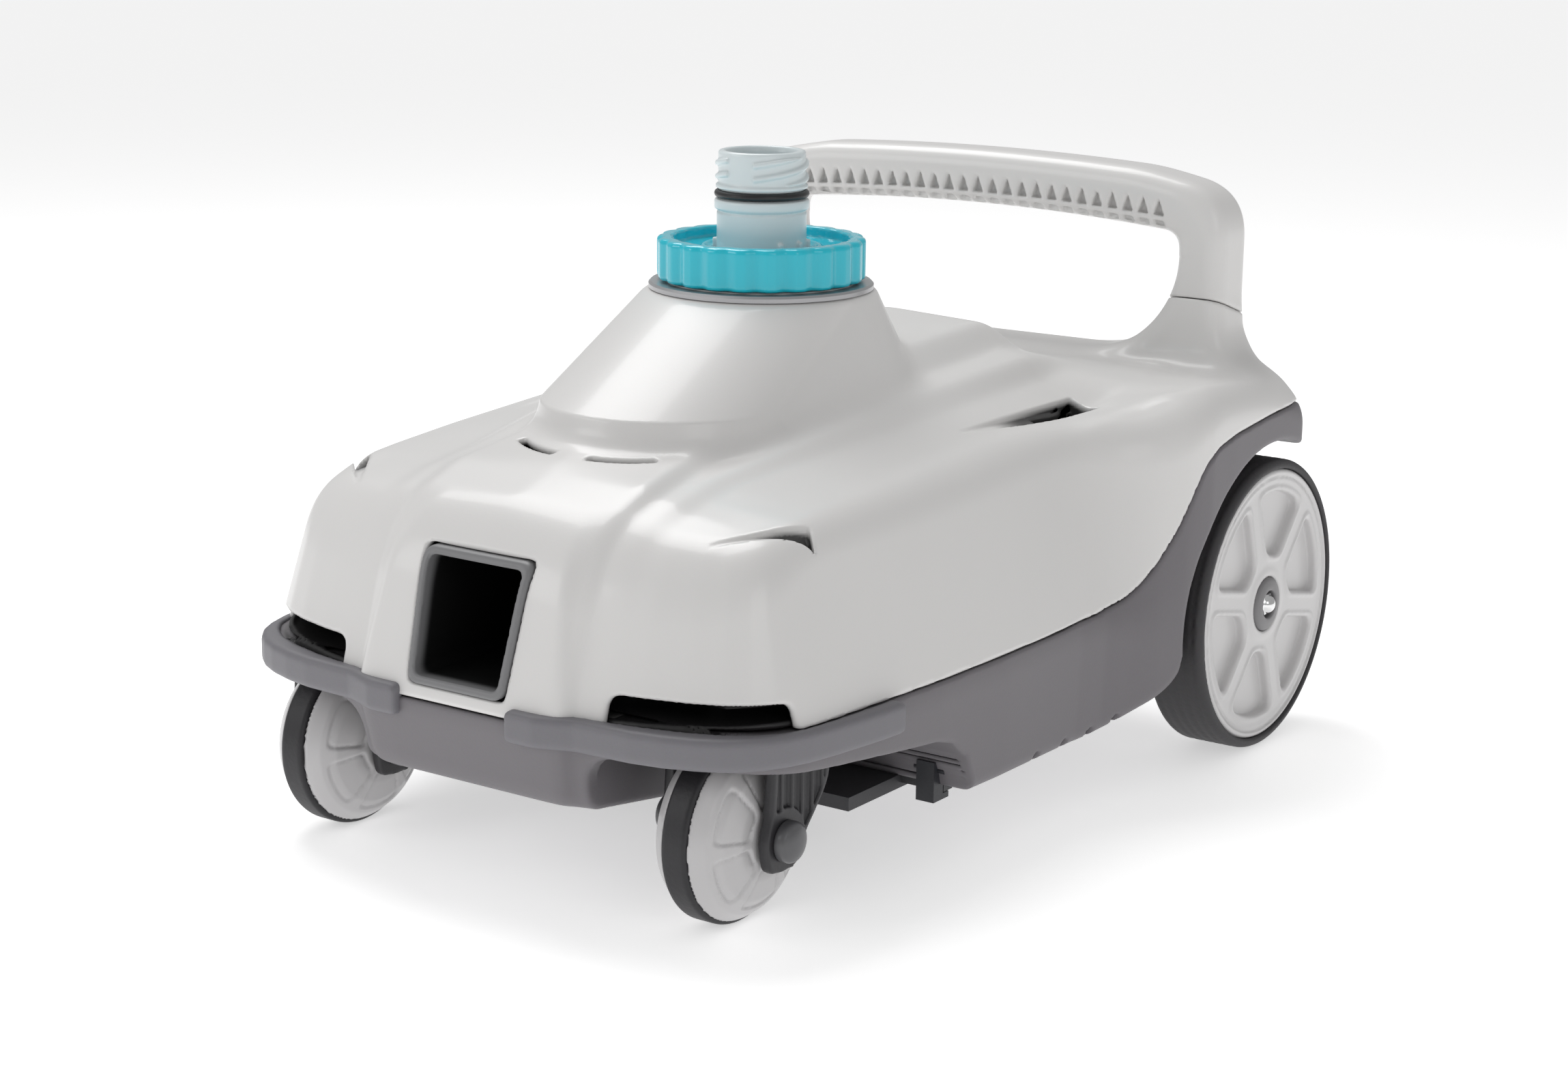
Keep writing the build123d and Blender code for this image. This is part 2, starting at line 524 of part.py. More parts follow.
# ---------------------------------------------------------------- water box and its flap
def make_water_box():
    """Box that splits the water between the two nozzles, its lid, flap, turbine and shaft."""
    inner = BOX_HALF - BOX_WALL
    neck = BOX_HALF
    box = block(-BOX_HALF, BOX_HALF, BOX_FRONT, BOX_BACK, BOX_BOTTOM, BOX_SHOULDER)
    box += block(-neck, neck, HOSE_Y - neck, HOSE_Y + neck, BOX_SHOULDER, BOX_TOP - BOX_WALL)
    hollow = block(-inner, inner, BOX_FRONT + BOX_WALL, BOX_BACK - BOX_WALL, BOX_BOTTOM + BOX_WALL,
                   BOX_SHOULDER - BOX_WALL)
    hollow += block(-inner, inner, HOSE_Y - inner, HOSE_Y + inner, BOX_BOTTOM + BOX_WALL, BOX_TOP)
    box -= hollow
    window = block(-inner + 4, inner - 4, -10, 10, 8, FLAP_H - 4)
    shelf_z = FLAP_Z + FLAP_H + 2
    for side in (1, -1):
        seat = block(-inner, inner, -FLAP_T / 2 - GAP - SEAT_T, -FLAP_T / 2 - GAP, 5, FLAP_H + 3) - window
        if side < 0:
            seat = seat.mirror(Plane.XZ)
        box += (Pos(0, HOSE_Y, FLAP_Z) * Rot(side * (FLAP_SWING + 1), 0, 0) * seat) & hollow
        lean = (FLAP_H + 3) * sin(radians(FLAP_SWING + 1)) + FLAP_T / 2 + GAP
        front, back = sorted((HOSE_Y - side * (lean + 0.5), HOSE_Y - side * 60))
        box += block(-inner, inner, front, back, shelf_z - 2, shelf_z + 1) & hollow
    box -= passage(MOUTH, BOX_FRONT - 1, BOX_FRONT + BOX_WALL + 1, 0)
    box -= passage(OUTLET, BOX_BACK - BOX_WALL - 1, BOX_BACK + 1, 0)
    box -= rod_x(-40, 40, HOSE_Y, TURBINE_Z, SHAFT_R + RUN)
    box -= rod_x(-BOX_HALF + 1, 40, HOSE_Y, FLAP_Z, 2.5 + RUN)
    save("water_box", box)
    lid = block(-neck, neck, HOSE_Y - neck, HOSE_Y + neck, BOX_TOP - BOX_WALL, BOX_TOP)
    save("water_box_lid", lid - rod_z(0, HOSE_Y, 150, 210, COLLAR_TUBE_R + GAP))

    flap_half = inner - 0.6
    flap = block(-flap_half, flap_half, HOSE_Y - FLAP_T / 2, HOSE_Y + FLAP_T / 2, FLAP_Z, FLAP_Z + FLAP_H)
    flap += rod_x(-flap_half, flap_half, HOSE_Y, FLAP_Z, 3.5)
    flap += rod_x(-BOX_HALF + 1.5, BOX_HALF + 5, HOSE_Y, FLAP_Z, 2.5)
    flap += block(BOX_HALF + 1, BOX_HALF + 5, HOSE_Y - 3, HOSE_Y + 3, FLAP_Z, FLAP_Z + LEVER)
    save("diverter_flap", flap)

    hub = rod_x(-TURBINE_HALF, TURBINE_HALF, 0, 0, 6)
    for side in (1, -1):
        hub += rod_x(side * TURBINE_HALF - 1, side * TURBINE_HALF + 1, 0, 0, 15)
    for i in range(TURBINE_BLADES):
        hub += Rot(i * 360 / TURBINE_BLADES, 0, 0) * block(-TURBINE_HALF, TURBINE_HALF, -1, 1, 5, TURBINE_R)
    hub -= rod_x(-40, 40, 0, 0, SHAFT_R)
    save("turbine_wheel", Pos(0, HOSE_Y, TURBINE_Z) * hub)
    planes = gear_planes()
    save("turbine_shaft", rod_x(-BOX_HALF + 0.5, planes[1][1] + 2, HOSE_Y, TURBINE_Z, SHAFT_R))


# ---------------------------------------------------------------- gears
def gear_planes():
    """The two gear planes, as (start, end) along X."""
    first = CASE_X + CASE_WALL + 0.5
    second = first + GEAR_W + GEAR_GAP
    return (first, first + GEAR_W), (second, second + GEAR_W)


def gear(teeth, bore, phase):
    """A spur gear about X from x = 0, with one tooth at the given angle from +Z towards -Y."""
    pitch_r = MODULE * teeth / 2
    base_r = pitch_r * cos(PRESSURE)
    tip_r = pitch_r + MODULE * 0.95
    root_r = pitch_r - MODULE * 1.25
    half_tooth = pi / (2 * teeth) - BACKLASH / (2 * pitch_r) + tan(PRESSURE) - PRESSURE
    start_r = max(base_r, root_r + 0.01)
    flank = []
    for i in range(6):
        r = start_r + (tip_r - start_r) * i / 5
        a = acos(min(1, base_r / r))
        flank.append((r, half_tooth - (tan(a) - a)))
    points = []
    for k in range(teeth):
        centre = phase + 2 * pi * k / teeth
        points.append((root_r, centre - flank[0][1]))
        points += [(r, centre - a) for r, a in flank]
        points += [(r, centre + a) for r, a in reversed(flank)]
        points.append((root_r, centre + flank[0][1]))
    outline = [(0, -r * sin(a), r * cos(a)) for r, a in points]
    blank = extrude(make_face(Polyline(*outline, close=True)), amount=GEAR_W, dir=(1, 0, 0))
    return blank - rod_x(-1, GEAR_W + 1, 0, 0, bore)


def towards(start, end):
    """The angle, from +Z towards -Y, of one gear centre seen from another."""
    return atan2(start[0] - end[0], end[1] - start[1])


def make_gears():
    """Two-stage reduction from the turbine shaft, in a lidded case."""
    lean = radians(30)
    shaft = (HOSE_Y, TURBINE_Z)
    middle = (shaft[0] + CENTRES * cos(lean), shaft[1] - CENTRES * sin(lean))
    output = (shaft[0], shaft[1] - 2 * CENTRES * sin(lean))
    first, second = gear_planes()
    half_wheel = pi / WHEEL_TEETH
    drive = gear(PINION_TEETH, SHAFT_R, towards(shaft, middle))
    save("drive_pinion", Pos(first[0], *shaft) * drive)
    big = gear(WHEEL_TEETH, GEAR_PIN_R + RUN, towards(middle, shaft) + half_wheel)
    small = gear(PINION_TEETH, GEAR_PIN_R + RUN, towards(middle, output))
    join = rod_x(GEAR_W - 0.1, GEAR_W + GEAR_GAP + 0.1, 0, 0, 5) - rod_x(0, 20, 0, 0, GEAR_PIN_R + RUN)
    save("compound_gear", Pos(first[0], *middle) * (big + join + Pos(GEAR_W + GEAR_GAP, 0, 0) * small))
    last = gear(WHEEL_TEETH, GEAR_PIN_R + RUN, towards(output, middle) + half_wheel)
    save("output_gear", Pos(second[0], *output) * last)

    lid_x = second[1] + 1
    tip = MODULE * WHEEL_TEETH / 2 + MODULE
    y0, y1 = output[0] - tip - 3.5, middle[0] + tip + 3.5
    z0, z1 = output[1] - tip - 3.5, shaft[1] + MODULE * PINION_TEETH / 2 + MODULE + 3.5
    case = block(CASE_X, lid_x, y0, y1, z0, z1)
    case -= block(CASE_X + CASE_WALL, lid_x + 1, y0 + CASE_WALL, y1 - CASE_WALL,
                  z0 + CASE_WALL, z1 - CASE_WALL)
    corners = [(y, z) for y in (y0 + 4, y1 - 4) for z in (z0 + 4, z1 - 4)]
    for y, z in corners:
        case += rod_x(CASE_X + 1, lid_x, y, z, 3.2)
    for y, z in corners:
        case -= rod_x(lid_x - 8, lid_x + 1, y, z, 1.25)
    case -= rod_x(CASE_X - 1, CASE_X + CASE_WALL + 1, *shaft, SHAFT_R + 0.5)
    case -= rod_x(CASE_X + 0.5, lid_x, *middle, GEAR_PIN_R) + rod_x(CASE_X + 0.5, lid_x, *output, GEAR_PIN_R)
    save("gearbox_case", case)
    lid = block(lid_x, lid_x + 3, y0, y1, z0, z1) - rod_x(lid_x - 1, lid_x + 1.6, *shaft, SHAFT_R + RUN)
    for y, z in corners:
        lid -= rod_x(lid_x - 1, lid_x + 4, y, z, 1.25)
    save("gearbox_lid", lid)
    screw = rod_x(lid_x - 7, lid_x + 3, 0, 0, 1.25) + rod_x(lid_x + 3, lid_x + 4.6, 0, 0, 2.6)
    save("gearbox_screws", [Pos(0, y, z) * screw for y, z in corners])
    pins = [rod_x(CASE_X + 0.5, lid_x, *place, GEAR_PIN_R) for place in (middle, output)]
    pins[1] = pins[1] + rod_x(CASE_X + CASE_WALL, second[0] - 0.4, *output, GEAR_PIN_R + 1.5)
    save("gear_pins", pins)


# ---------------------------------------------------------------- suction plate
def make_suction_plate():
    """The plate with the suction slot, and the two latches that hold it."""
    plate = block(-PLATE_HALF, PLATE_HALF, PLATE_FRONT, PLATE_BACK, PLATE_Z, FLOOR_Z)
    plate -= block(-SLOT_HALF, SLOT_HALF, PLATE_FRONT + 15, PLATE_BACK - 15, PLATE_Z - 1, FLOOR_Z + 1)
    plate -= block(-SLOT_HALF - 20, SLOT_HALF + 20, PLATE_FRONT + 6, PLATE_BACK - 6, PLATE_Z - 1, PLATE_Z + 2)
    tongue = block(PLATE_HALF - 1, LATCH_X + LATCH_HALF, LATCH_Y + 4, PLATE_BACK - 2,
                   FLOOR_Z - 4, FLOOR_Z - 0.5)
    save("intake_plate", plate + tongue + mirrored(tongue))
    body = across([(LATCH_Y - 4, LATCH_Z + 4), (LATCH_Y + 3.4, LATCH_Z + 4), (LATCH_Y + 3.4, FLOOR_Z - 4.4),
                   (LATCH_Y + 8, FLOOR_Z - 4.4), (LATCH_Y + 8, PLATE_Z - 1), (LATCH_Y - 4, PLATE_Z - 1)],
                  LATCH_X - LATCH_HALF, LATCH_X + LATCH_HALF)
    both("latch", body + rod_x(LATCH_X - 7.5, LATCH_X + 7.5, LATCH_Y, LATCH_Z, LATCH_PIN_R))


# ---------------------------------------------------------------- rear wheels
def make_rear_wheels():
    """Through axle, and each wheel with tyre, bush, hub cap and axle nut."""
    face = REAR_W / 2
    hub = 9.0
    save("rear_axle", rod_x(-REAR_X - face + 1, REAR_X + face - 1, REAR_Y, REAR_R, REAR_AXLE_R))
    wheel = spin_x([(-face + 0.5, REAR_BUSH_R), (hub, REAR_BUSH_R), (hub, REAR_CAP_R + 0.2),
                    (13, REAR_CAP_R + 1.4), (13, 57), (face - 1, 60), (face - 1, REAR_RIM_R),
                    (-face + 0.5, REAR_RIM_R), (-face + 0.5, 59), (6.5, 57), (6.5, 18), (-face + 0.5, 15)],
                   REAR_X, REAR_Y, REAR_R)
    pocket = extrude(make_face(Polyline((0, -7, 26), (0, -13.5, 52), (0, 0, 54.5), (0, 13.5, 52), (0, 7, 26),
                                        close=True)), amount=10, dir=(1, 0, 0))
    for i in range(REAR_POCKETS):
        wheel -= Pos(REAR_X + 9.5, REAR_Y, REAR_R) * Rot(i * 360 / REAR_POCKETS + 15, 0, 0) * pocket
    both("rear_wheel", wheel)
    both("rear_tyre", spin_x([(-face, REAR_RIM_R), (face, REAR_RIM_R), (face, REAR_R - 2), (face - 2, REAR_R),
                              (-face + 2, REAR_R), (-face, REAR_R - 2)], REAR_X, REAR_Y, REAR_R))
    both("rear_bush", spin_x([(-face + 0.5, REAR_AXLE_R + RUN), (hub, REAR_AXLE_R + RUN), (hub, REAR_BUSH_R),
                              (-face + 0.5, REAR_BUSH_R)], REAR_X, REAR_Y, REAR_R))
    both("rear_hub_cap", spin_x([(hub, REAR_NUT_R + 0.8), (15.5, REAR_NUT_R + 0.8), (15.5, REAR_CAP_R - 1.5),
                                 (14, REAR_CAP_R), (hub, REAR_CAP_R)], REAR_X, REAR_Y, REAR_R))
    flats = extrude(RegularPolygon(REAR_NUT_R, 6), 5)
    flats = Pos(REAR_X + hub + 0.5, REAR_Y, REAR_R) * Rot(0, 90, 0) * flats
    dome = spin_x([(hub + 5.4, 0), (18, 0), (17.4, 2.5), (16, 4), (hub + 5.4, 4.8)], REAR_X, REAR_Y, REAR_R)
    nut = flats + dome - rod_x(REAR_X, REAR_X + face - 1, REAR_Y, REAR_R, REAR_AXLE_R)
    both("rear_axle_nut", nut)


# ---------------------------------------------------------------- front wheels
def make_front_wheels():
    """Each steered front wheel: fork, stem clip, axle, axle caps, two wheel halves and a tyre band."""
    band = FRONT_BAND_W / 2
    leg_in = FRONT_HALF_W + FORK_GAP
    leg_out = leg_in + FORK_LEG
    crown = 2 * FRONT_R + FORK_UNDER
    crown_top = crown + FORK_CROWN
    back = STEER_Y + 20
    front = STEER_Y - 18
    leg = [(FRONT_Y - 9, FRONT_R), (FRONT_Y - 6, FRONT_R - 8), (FRONT_Y + 6, FRONT_R - 8), (back, 58),
           (back, crown_top), (front, crown_top), (front, crown - 14)]
    fork = block(FRONT_X - leg_out, FRONT_X + leg_out, front, back, crown, crown_top)
    for inner, outer in ((-leg_out, -leg_in), (leg_in, leg_out)):
        fork += across(leg, FRONT_X + inner, FRONT_X + outer)
    fork += rod_z(FRONT_X, STEER_Y, crown_top - 1, STEER_SLEEVE_TOP + 6, STEER_STEM_R)
    clip_z = STEER_SLEEVE_TOP + 0.6
    fork -= (rod_z(FRONT_X, STEER_Y, clip_z, clip_z + 2, STEER_STEM_R + 1)
             - rod_z(FRONT_X, STEER_Y, clip_z, clip_z + 2, STEER_STEM_R - 1.5))
    fork -= rod_x(FRONT_X - 40, FRONT_X + 40, FRONT_Y, FRONT_R, FRONT_PIN_R)
    both("caster_fork", fork)
    both("caster_stem_clip", rod_z(FRONT_X, STEER_Y, clip_z, clip_z + 2, STEER_STEM_R + 3)
         - rod_z(FRONT_X, STEER_Y, clip_z - 1, clip_z + 3, STEER_STEM_R - 1.5))
    both("caster_axle", rod_x(FRONT_X - leg_out - 5, FRONT_X + leg_out + 5, FRONT_Y, FRONT_R, FRONT_PIN_R))
    cap = spin_x([(leg_out, FRONT_PIN_R), (leg_out, FRONT_CAP_R), (leg_out + 5, FRONT_CAP_R - 1),
                  (leg_out + 7.5, 5), (leg_out + 8, 0), (leg_out + 5, 0), (leg_out + 5, FRONT_PIN_R)],
                 FRONT_X, FRONT_Y, FRONT_R)
    other = Pos(2 * FRONT_X, 0, 0) * mirrored(cap)
    both("caster_axle_caps", [cap, other])
    half = [(0, FRONT_PIN_R + RUN), (FRONT_HALF_W, FRONT_PIN_R + RUN), (FRONT_HALF_W, 9), (19, 18),
            (16.5, 27), (12, 33.5), (band, FRONT_R - 1.4), (band, 30), (0, 30), (0, 27), (8, 27), (13, 22),
            (15.5, 12), (15.5, 8), (0, 8)]
    both("caster_wheel_outer", spin_x(half, FRONT_X, FRONT_Y, FRONT_R))
    both("caster_wheel_inner", Pos(2 * FRONT_X, 0, 0) * mirrored(spin_x(half, FRONT_X, FRONT_Y, FRONT_R)))
    both("caster_tyre", spin_x([(-band, 30), (band, 30), (band, FRONT_R - 1.2), (band - 1.5, FRONT_R),
                                (1.5 - band, FRONT_R), (-band, FRONT_R - 1.2)], FRONT_X, FRONT_Y, FRONT_R))


make_body()
make_bumpers()
make_nozzles()
make_hose_connection()
make_water_box()
make_gears()
make_suction_plate()
make_rear_wheels()
make_front_wheels()
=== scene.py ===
"""Looks of a wheeled swimming-pool floor cleaner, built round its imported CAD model.

The shapes are given in millimetres as signed distance fields (negative inside) and turned into smooth
meshes in metres. +Z is up, the nozzle mouth faces -Y and +X is the machine's right-hand side.
"""

import json
import math

import bpy
import numpy as np
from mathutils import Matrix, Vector

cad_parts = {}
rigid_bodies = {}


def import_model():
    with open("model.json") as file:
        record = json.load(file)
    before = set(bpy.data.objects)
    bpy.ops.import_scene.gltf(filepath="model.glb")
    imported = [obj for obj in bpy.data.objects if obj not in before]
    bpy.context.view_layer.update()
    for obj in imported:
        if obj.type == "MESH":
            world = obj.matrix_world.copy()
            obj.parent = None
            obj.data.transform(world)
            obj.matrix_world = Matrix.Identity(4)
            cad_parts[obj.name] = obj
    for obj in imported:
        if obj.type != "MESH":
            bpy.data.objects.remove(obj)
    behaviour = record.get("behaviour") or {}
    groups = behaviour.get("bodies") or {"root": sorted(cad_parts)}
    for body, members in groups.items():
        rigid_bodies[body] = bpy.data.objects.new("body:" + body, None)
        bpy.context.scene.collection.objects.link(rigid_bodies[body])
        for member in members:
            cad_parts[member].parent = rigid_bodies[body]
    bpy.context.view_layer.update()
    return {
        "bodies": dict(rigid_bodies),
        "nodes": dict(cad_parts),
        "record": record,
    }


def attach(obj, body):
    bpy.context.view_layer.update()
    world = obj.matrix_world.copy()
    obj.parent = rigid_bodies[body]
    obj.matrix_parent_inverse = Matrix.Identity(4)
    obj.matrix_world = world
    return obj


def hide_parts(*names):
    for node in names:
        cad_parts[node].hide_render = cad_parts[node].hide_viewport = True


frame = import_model()

# ---------------------------------------------------------------- sizes, in millimetres
WALL = 3.4                     # drawn a little thicker than moulded, so that the mesh grid holds it
JOINT_GAP = 0.9                # groove between cover and chassis
HOSE_Y = -16.5
REAR_X, REAR_Y, REAR_R = 157.0, 162.0, 70.0
REAR_RIM_R = 65.3
WHEEL_POCKETS = 6
ARCH_R = 79.0
WELL_X = 138.0
FRONT_X, FRONT_Y, FRONT_R = 103.0, -178.5, 38.8
STEER_Y = -168.0
BAY_X, BAY_ROOF, BAY_BACK = 60.0, 83.2, -104.0
LATCH_BAY_X = 116.0
CASTER_CAP_R, CASTER_BOSS_R, CASTER_PIN_R = 8.6, 11.4, 3.0
FORK_LEG_X = 24.5              # middle of a fork leg, out from the wheel's own middle
BUMPER_Z, BUMPER_HALF_H = 80.05, 6.75
HANDLE_Y, HANDLE_HALF_D = 176.0, 16.0
HANDLE_HALF, HANDLE_TOP = 138.5, 274.5
HAND_HALF, HAND_TOP = 113.8, 247.8       # the hand opening
GRIP_PITCH, GRIP_RECESSES = 8.4, 13      # recesses on each side of the middle
SEAM_Z, SEAM_SLOPE = 213.0, 0.34
TURRET_TOP, TURRET_R = 228.0, 51.5
TOE_Y, TOE_R, TOE_Z = -82.5, 57.0, 187.0
DRAFT_Z = 86.0                 # height from which the body's sides lean in, upwards and downwards
NOZZLE_LOW, NOZZLE_TOP = 87.9, 142.8
OUTLET_HALF_W, OUTLET_HALF_H, OUTLET_Z = 22.5, 21.5, 115.0
NUT_LOW, NUT_TOP, NUT_FLUTES = 231.6, 250.6, 22
TAIL_R, TAIL_BORE_R, TAIL_LOW, TAIL_TOP = 19.5, 15.5, 221.6, 289.0
ORING_Z = 269.8
THREAD_Z, THREAD_MID_Z, THREAD_LEAD, THREAD_PITCH = 277.5, 280.8, 20.0, 6.0

# body outline at the joint line, right-hand half, front to back
PLAN = [(0, -226), (36, -226), (48.5, -225.4), (53, -224), (56, -220.6), (61, -219.4), (72, -218),
        (86, -215.5), (104, -210.5), (118, -204.5), (128, -197), (135, -188.5), (139, -178), (141.5, -160),
        (144, -130), (147, -90), (149, -40), (149.5, 20), (152, 38), (157, 52), (163, 66), (168.5, 82),
        (171.5, 98), (172, 120), (172, 190), (169, 194), (160, 194.5), (0, 194.5)]
# joint line of cover and chassis, and the chassis's underside, as (y, z)
JOINT = [(-260, 81.5), (-222, 81.5), (-206, 84.5), (-190, 86), (7, 87.4), (34, 89), (50, 93), (58.5, 98),
         (65.5, 104.4), (71, 111), (78, 121), (83.5, 132), (89.6, 143), (94.5, 150), (103, 155.5),
         (120, 159.4), (155, 163), (191, 164.4), (230, 165)]
UNDERSIDE = [(-260, 60), (-226, 49), (-218, 46.5), (-200, 44), (-112, 31), (24, 31), (38, 32), (53, 36),
             (61, 39), (72, 43), (80, 48), (87, 57), (104, 58), (150, 56), (176, 58), (206, 95), (230, 120)]
# crown lines of the cover along Y, as (y, z) or (y, x)
VALLEY_X = [(-250, 98), (-186, 100), (-150, 103), (-40, 105), (86, 113), (110, 118), (150, 125), (230, 128)]
VALLEY_Z = [(-250, 127), (-206, 145), (-186, 153), (-150, 160.5), (-134, 162.5), (-96, 165.5),
            (-40, 168.5), (-7, 170.5), (50, 170.5), (86, 170), (98, 173), (112, 178), (130, 180),
            (153, 178.5), (190, 177.5), (230, 176)]
CROWN_Z = [(-250, 136), (-206.5, 154), (-186.5, 162.5), (-159.5, 172), (-141.5, 176), (-96, 179), (-60, 186),
           (9, 197), (40, 203.5), (93, 205), (104, 201), (113, 192), (130, 182.5), (150, 179.5), (190, 178.5),
           (230, 178)]
RIDGE_X = [(-250, 50), (-166, 50), (-134, 46), (-96, 42), (9.5, 45), (98, 50), (230, 60)]
RIDGE_Z = [(-250, 135), (-206.5, 152.5), (-186, 161), (-166, 168.5), (-134, 174), (-110, 178), (-96, 183),
           (9.5, 197), (93, 203), (104, 199), (113, 191), (130, 182.5), (150, 180), (190, 179), (230, 178)]
FOOT_X = [(-250, 64), (-166, 64), (-134, 62), (-40, 75), (106, 77), (130, 84), (230, 90)]
FOOT_Z = [(-250, 131), (-206, 148), (-186, 157), (-166, 163.5), (-134, 169), (-40, 182), (90, 190), (106, 188),
          (130, 182), (150, 180), (190, 179), (230, 178)]
EDGE_X = [(-250, 126), (-186, 128), (-46, 130), (60, 133), (78, 140), (92, 150), (105, 158), (130, 163),
          (230, 163)]
EDGE_Z = [(-250, 130), (-206, 146), (-186, 153), (-150, 159), (-46, 164), (50, 168), (74, 174), (92, 180.5),
          (110, 182.5), (153, 179), (180, 173), (192, 169), (230, 160)]
# outer face of a bumper, as (x, y)
BUMPER_FACE = [(28.5, -231.6), (44, -231.4), (52, -228.4), (60, -225.2), (72, -224.6), (86, -223.8),
               (100, -221), (113, -216.6), (122, -212), (129, -206.5), (135, -199.5), (139.5, -191),
               (143.5, -179), (146, -166), (148.4, -150), (150, -138), (151.2, -123)]
# slots in the cover, as (x, y) of the tip and of the deep end
FRONT_VENT = ((94, -180.5), (120.5, -149.0))
DECK_SLOT = ((101, -6), (111.5, 84))
# edge of the chassis skirt beside a front wheel, as (y, z)
SKIRT = [(-260, 72), (-205, 71), (-185, 69), (-110, 62), (-92, 60.5), (-80, 57), (-70, 49), (-64, 36),
         (-60, 20)]


# ---------------------------------------------------------------- fields
def smax(a, b, k):
    """The larger of two fields, with a rounding of size k where they meet."""
    h = np.clip(0.5 + 0.5 * (a - b) / k, 0, 1)
    return b + (a - b) * h + k * h * (1 - h)


def smin(a, b, k):
    """The smaller of two fields, with a fillet of size k where they meet."""
    return -smax(-a, -b, k)


def ramp(t):
    """A smooth step from 0 to 1."""
    t = np.clip(t, 0, 1)
    return t * t * (3 - 2 * t)


def blur(values, sigma, axis):
    """Gaussian blur of a table along one axis, with its ends held."""
    reach = int(3 * sigma) + 1
    kernel = np.exp(-0.5 * (np.arange(-reach, reach + 1) / sigma) ** 2)
    kernel /= kernel.sum()
    pad = [(reach, reach) if a == axis else (0, 0) for a in range(values.ndim)]
    wide = np.pad(values, pad, mode="edge")
    return np.apply_along_axis(lambda v: np.convolve(v, kernel, "valid"), axis, wide)


class Table:
    """A smooth function of two coordinates, held on a 1 mm grid."""

    def __init__(self, u, v, values, soft=0.0):
        if soft:
            values = blur(blur(values, soft, 0), soft, 1)
        self.u0, self.v0, self.values = u[0], v[0], values.astype(np.float32)

    def __call__(self, u, v):
        n, m = self.values.shape
        a = np.clip(u - self.u0, 0, n - 1.001)
        b = np.clip(v - self.v0, 0, m - 1.001)
        i, j = a.astype(np.int32), b.astype(np.int32)
        a, b = a - i, b - j
        w = self.values
        near = w[i, j] * (1 - a) + w[i + 1, j] * a
        far = w[i, j + 1] * (1 - a) + w[i + 1, j + 1] * a
        return near * (1 - b) + far * b


def outline_table(points, u_span, v_span, soft):
    """Signed distance to a closed outline, as a smooth table."""
    u = np.arange(u_span[0], u_span[1] + 1.0)
    v = np.arange(v_span[0], v_span[1] + 1.0)
    U, V = np.meshgrid(u, v, indexing="ij")
    dist = np.full(U.shape, 1e9)
    inside = np.zeros(U.shape, bool)
    for (x0, y0), (x1, y1) in zip(points, points[1:] + points[:1]):
        dx, dy = x1 - x0, y1 - y0
        t = np.clip(((U - x0) * dx + (V - y0) * dy) / (dx * dx + dy * dy + 1e-12), 0, 1)
        dist = np.minimum(dist, np.hypot(U - x0 - t * dx, V - y0 - t * dy))
        crosses = (y0 > V) != (y1 > V)
        inside ^= crosses & (U < x0 + (V - y0) * dx / (dy if dy else 1e-12))
    return Table(u, v, np.where(inside, -dist, dist), soft)


def half_outline(points, soft):
    """The outline of a shape that is the same on both sides, for use with |x|."""
    return outline_table(points + [(-x, y) for x, y in reversed(points)], (-6, 215), (-262, 232), soft)


def line_at(points, y):
    """A line given as points, read at y."""
    return np.interp(y, [p[0] for p in points], [p[1] for p in points])


OVERHEAD = [(260, 320), (-300, 320)]       # closes a side outline above the machine
plan = half_outline(PLAN, 1.7)
joint = outline_table(JOINT + OVERHEAD, (-262, 232), (0, 300), 2.2)      # negative above the joint
underside = outline_table(UNDERSIDE + OVERHEAD, (-262, 232), (0, 300), 3.0)


def crown_table():
    """Height of the cover's upper surface over |x| and y, and how steep it is."""
    u = np.arange(-6.0, 216)
    v = np.arange(-262.0, 233)
    rows = []
    for y in v:
        ridge, foot, valley, edge = (line_at(t, y) for t in (RIDGE_X, FOOT_X, VALLEY_X, EDGE_X))
        ridge_z, foot_z, valley_z, edge_z = (line_at(t, y) for t in (RIDGE_Z, FOOT_Z, VALLEY_Z, EDGE_Z))
        xs = [0, ridge, ridge + 0.42 * (foot - ridge), foot, foot + 9, valley, edge, edge + 50]
        zs = [line_at(CROWN_Z, y), ridge_z, foot_z + 0.12 * (ridge_z - foot_z), foot_z,
              valley_z + 0.5 * (foot_z - valley_z), valley_z, edge_z, edge_z - 16]
        rows.append(np.interp(np.abs(u), xs, zs))
    height = np.array(rows).T
    height = blur(blur(height, 2.3, 0), 3.0, 1)
    steep = np.hypot(*np.gradient(height))
    return Table(u, v, height), Table(u, v, blur(blur(np.sqrt(1 + steep ** 2), 2, 0), 2, 1))


crown, crown_steep = crown_table()
DRAFT = 0.277                  # lean of the cover's sides towards the middle, per unit of height


def body(x, y, z):
    """The whole body, cover and chassis in one, without turret, handle or wells."""
    ax = np.abs(x)
    outline = plan(ax, y)
    draft = DRAFT * (1 - ramp((y - 30) / 62))
    back = ramp((y - 188) / 4)
    upper = (outline + (z - DRAFT_Z) * draft * (1 - back)) * 0.975
    panel = 1.2 * ramp((58 - ax) / 6) * ramp((-150 - y) / 25)
    upper = upper - panel * ramp((z - 70) / 20)
    lean = 0.05 + 0.17 * ramp((-190 - y) / 20)
    lower = outline - 1.2 - 2.2 * ramp((-190 - y) / 20) + (DRAFT_Z - z) * lean - panel * 0.6
    side = smax(upper, lower, 2.0)
    top = (z - crown(ax, y)) / crown_steep(ax, y)
    front = ramp((-150 - y) / 40)
    return smax(smax(top, side, 13 + 8 * front), underside(y, z), 7)


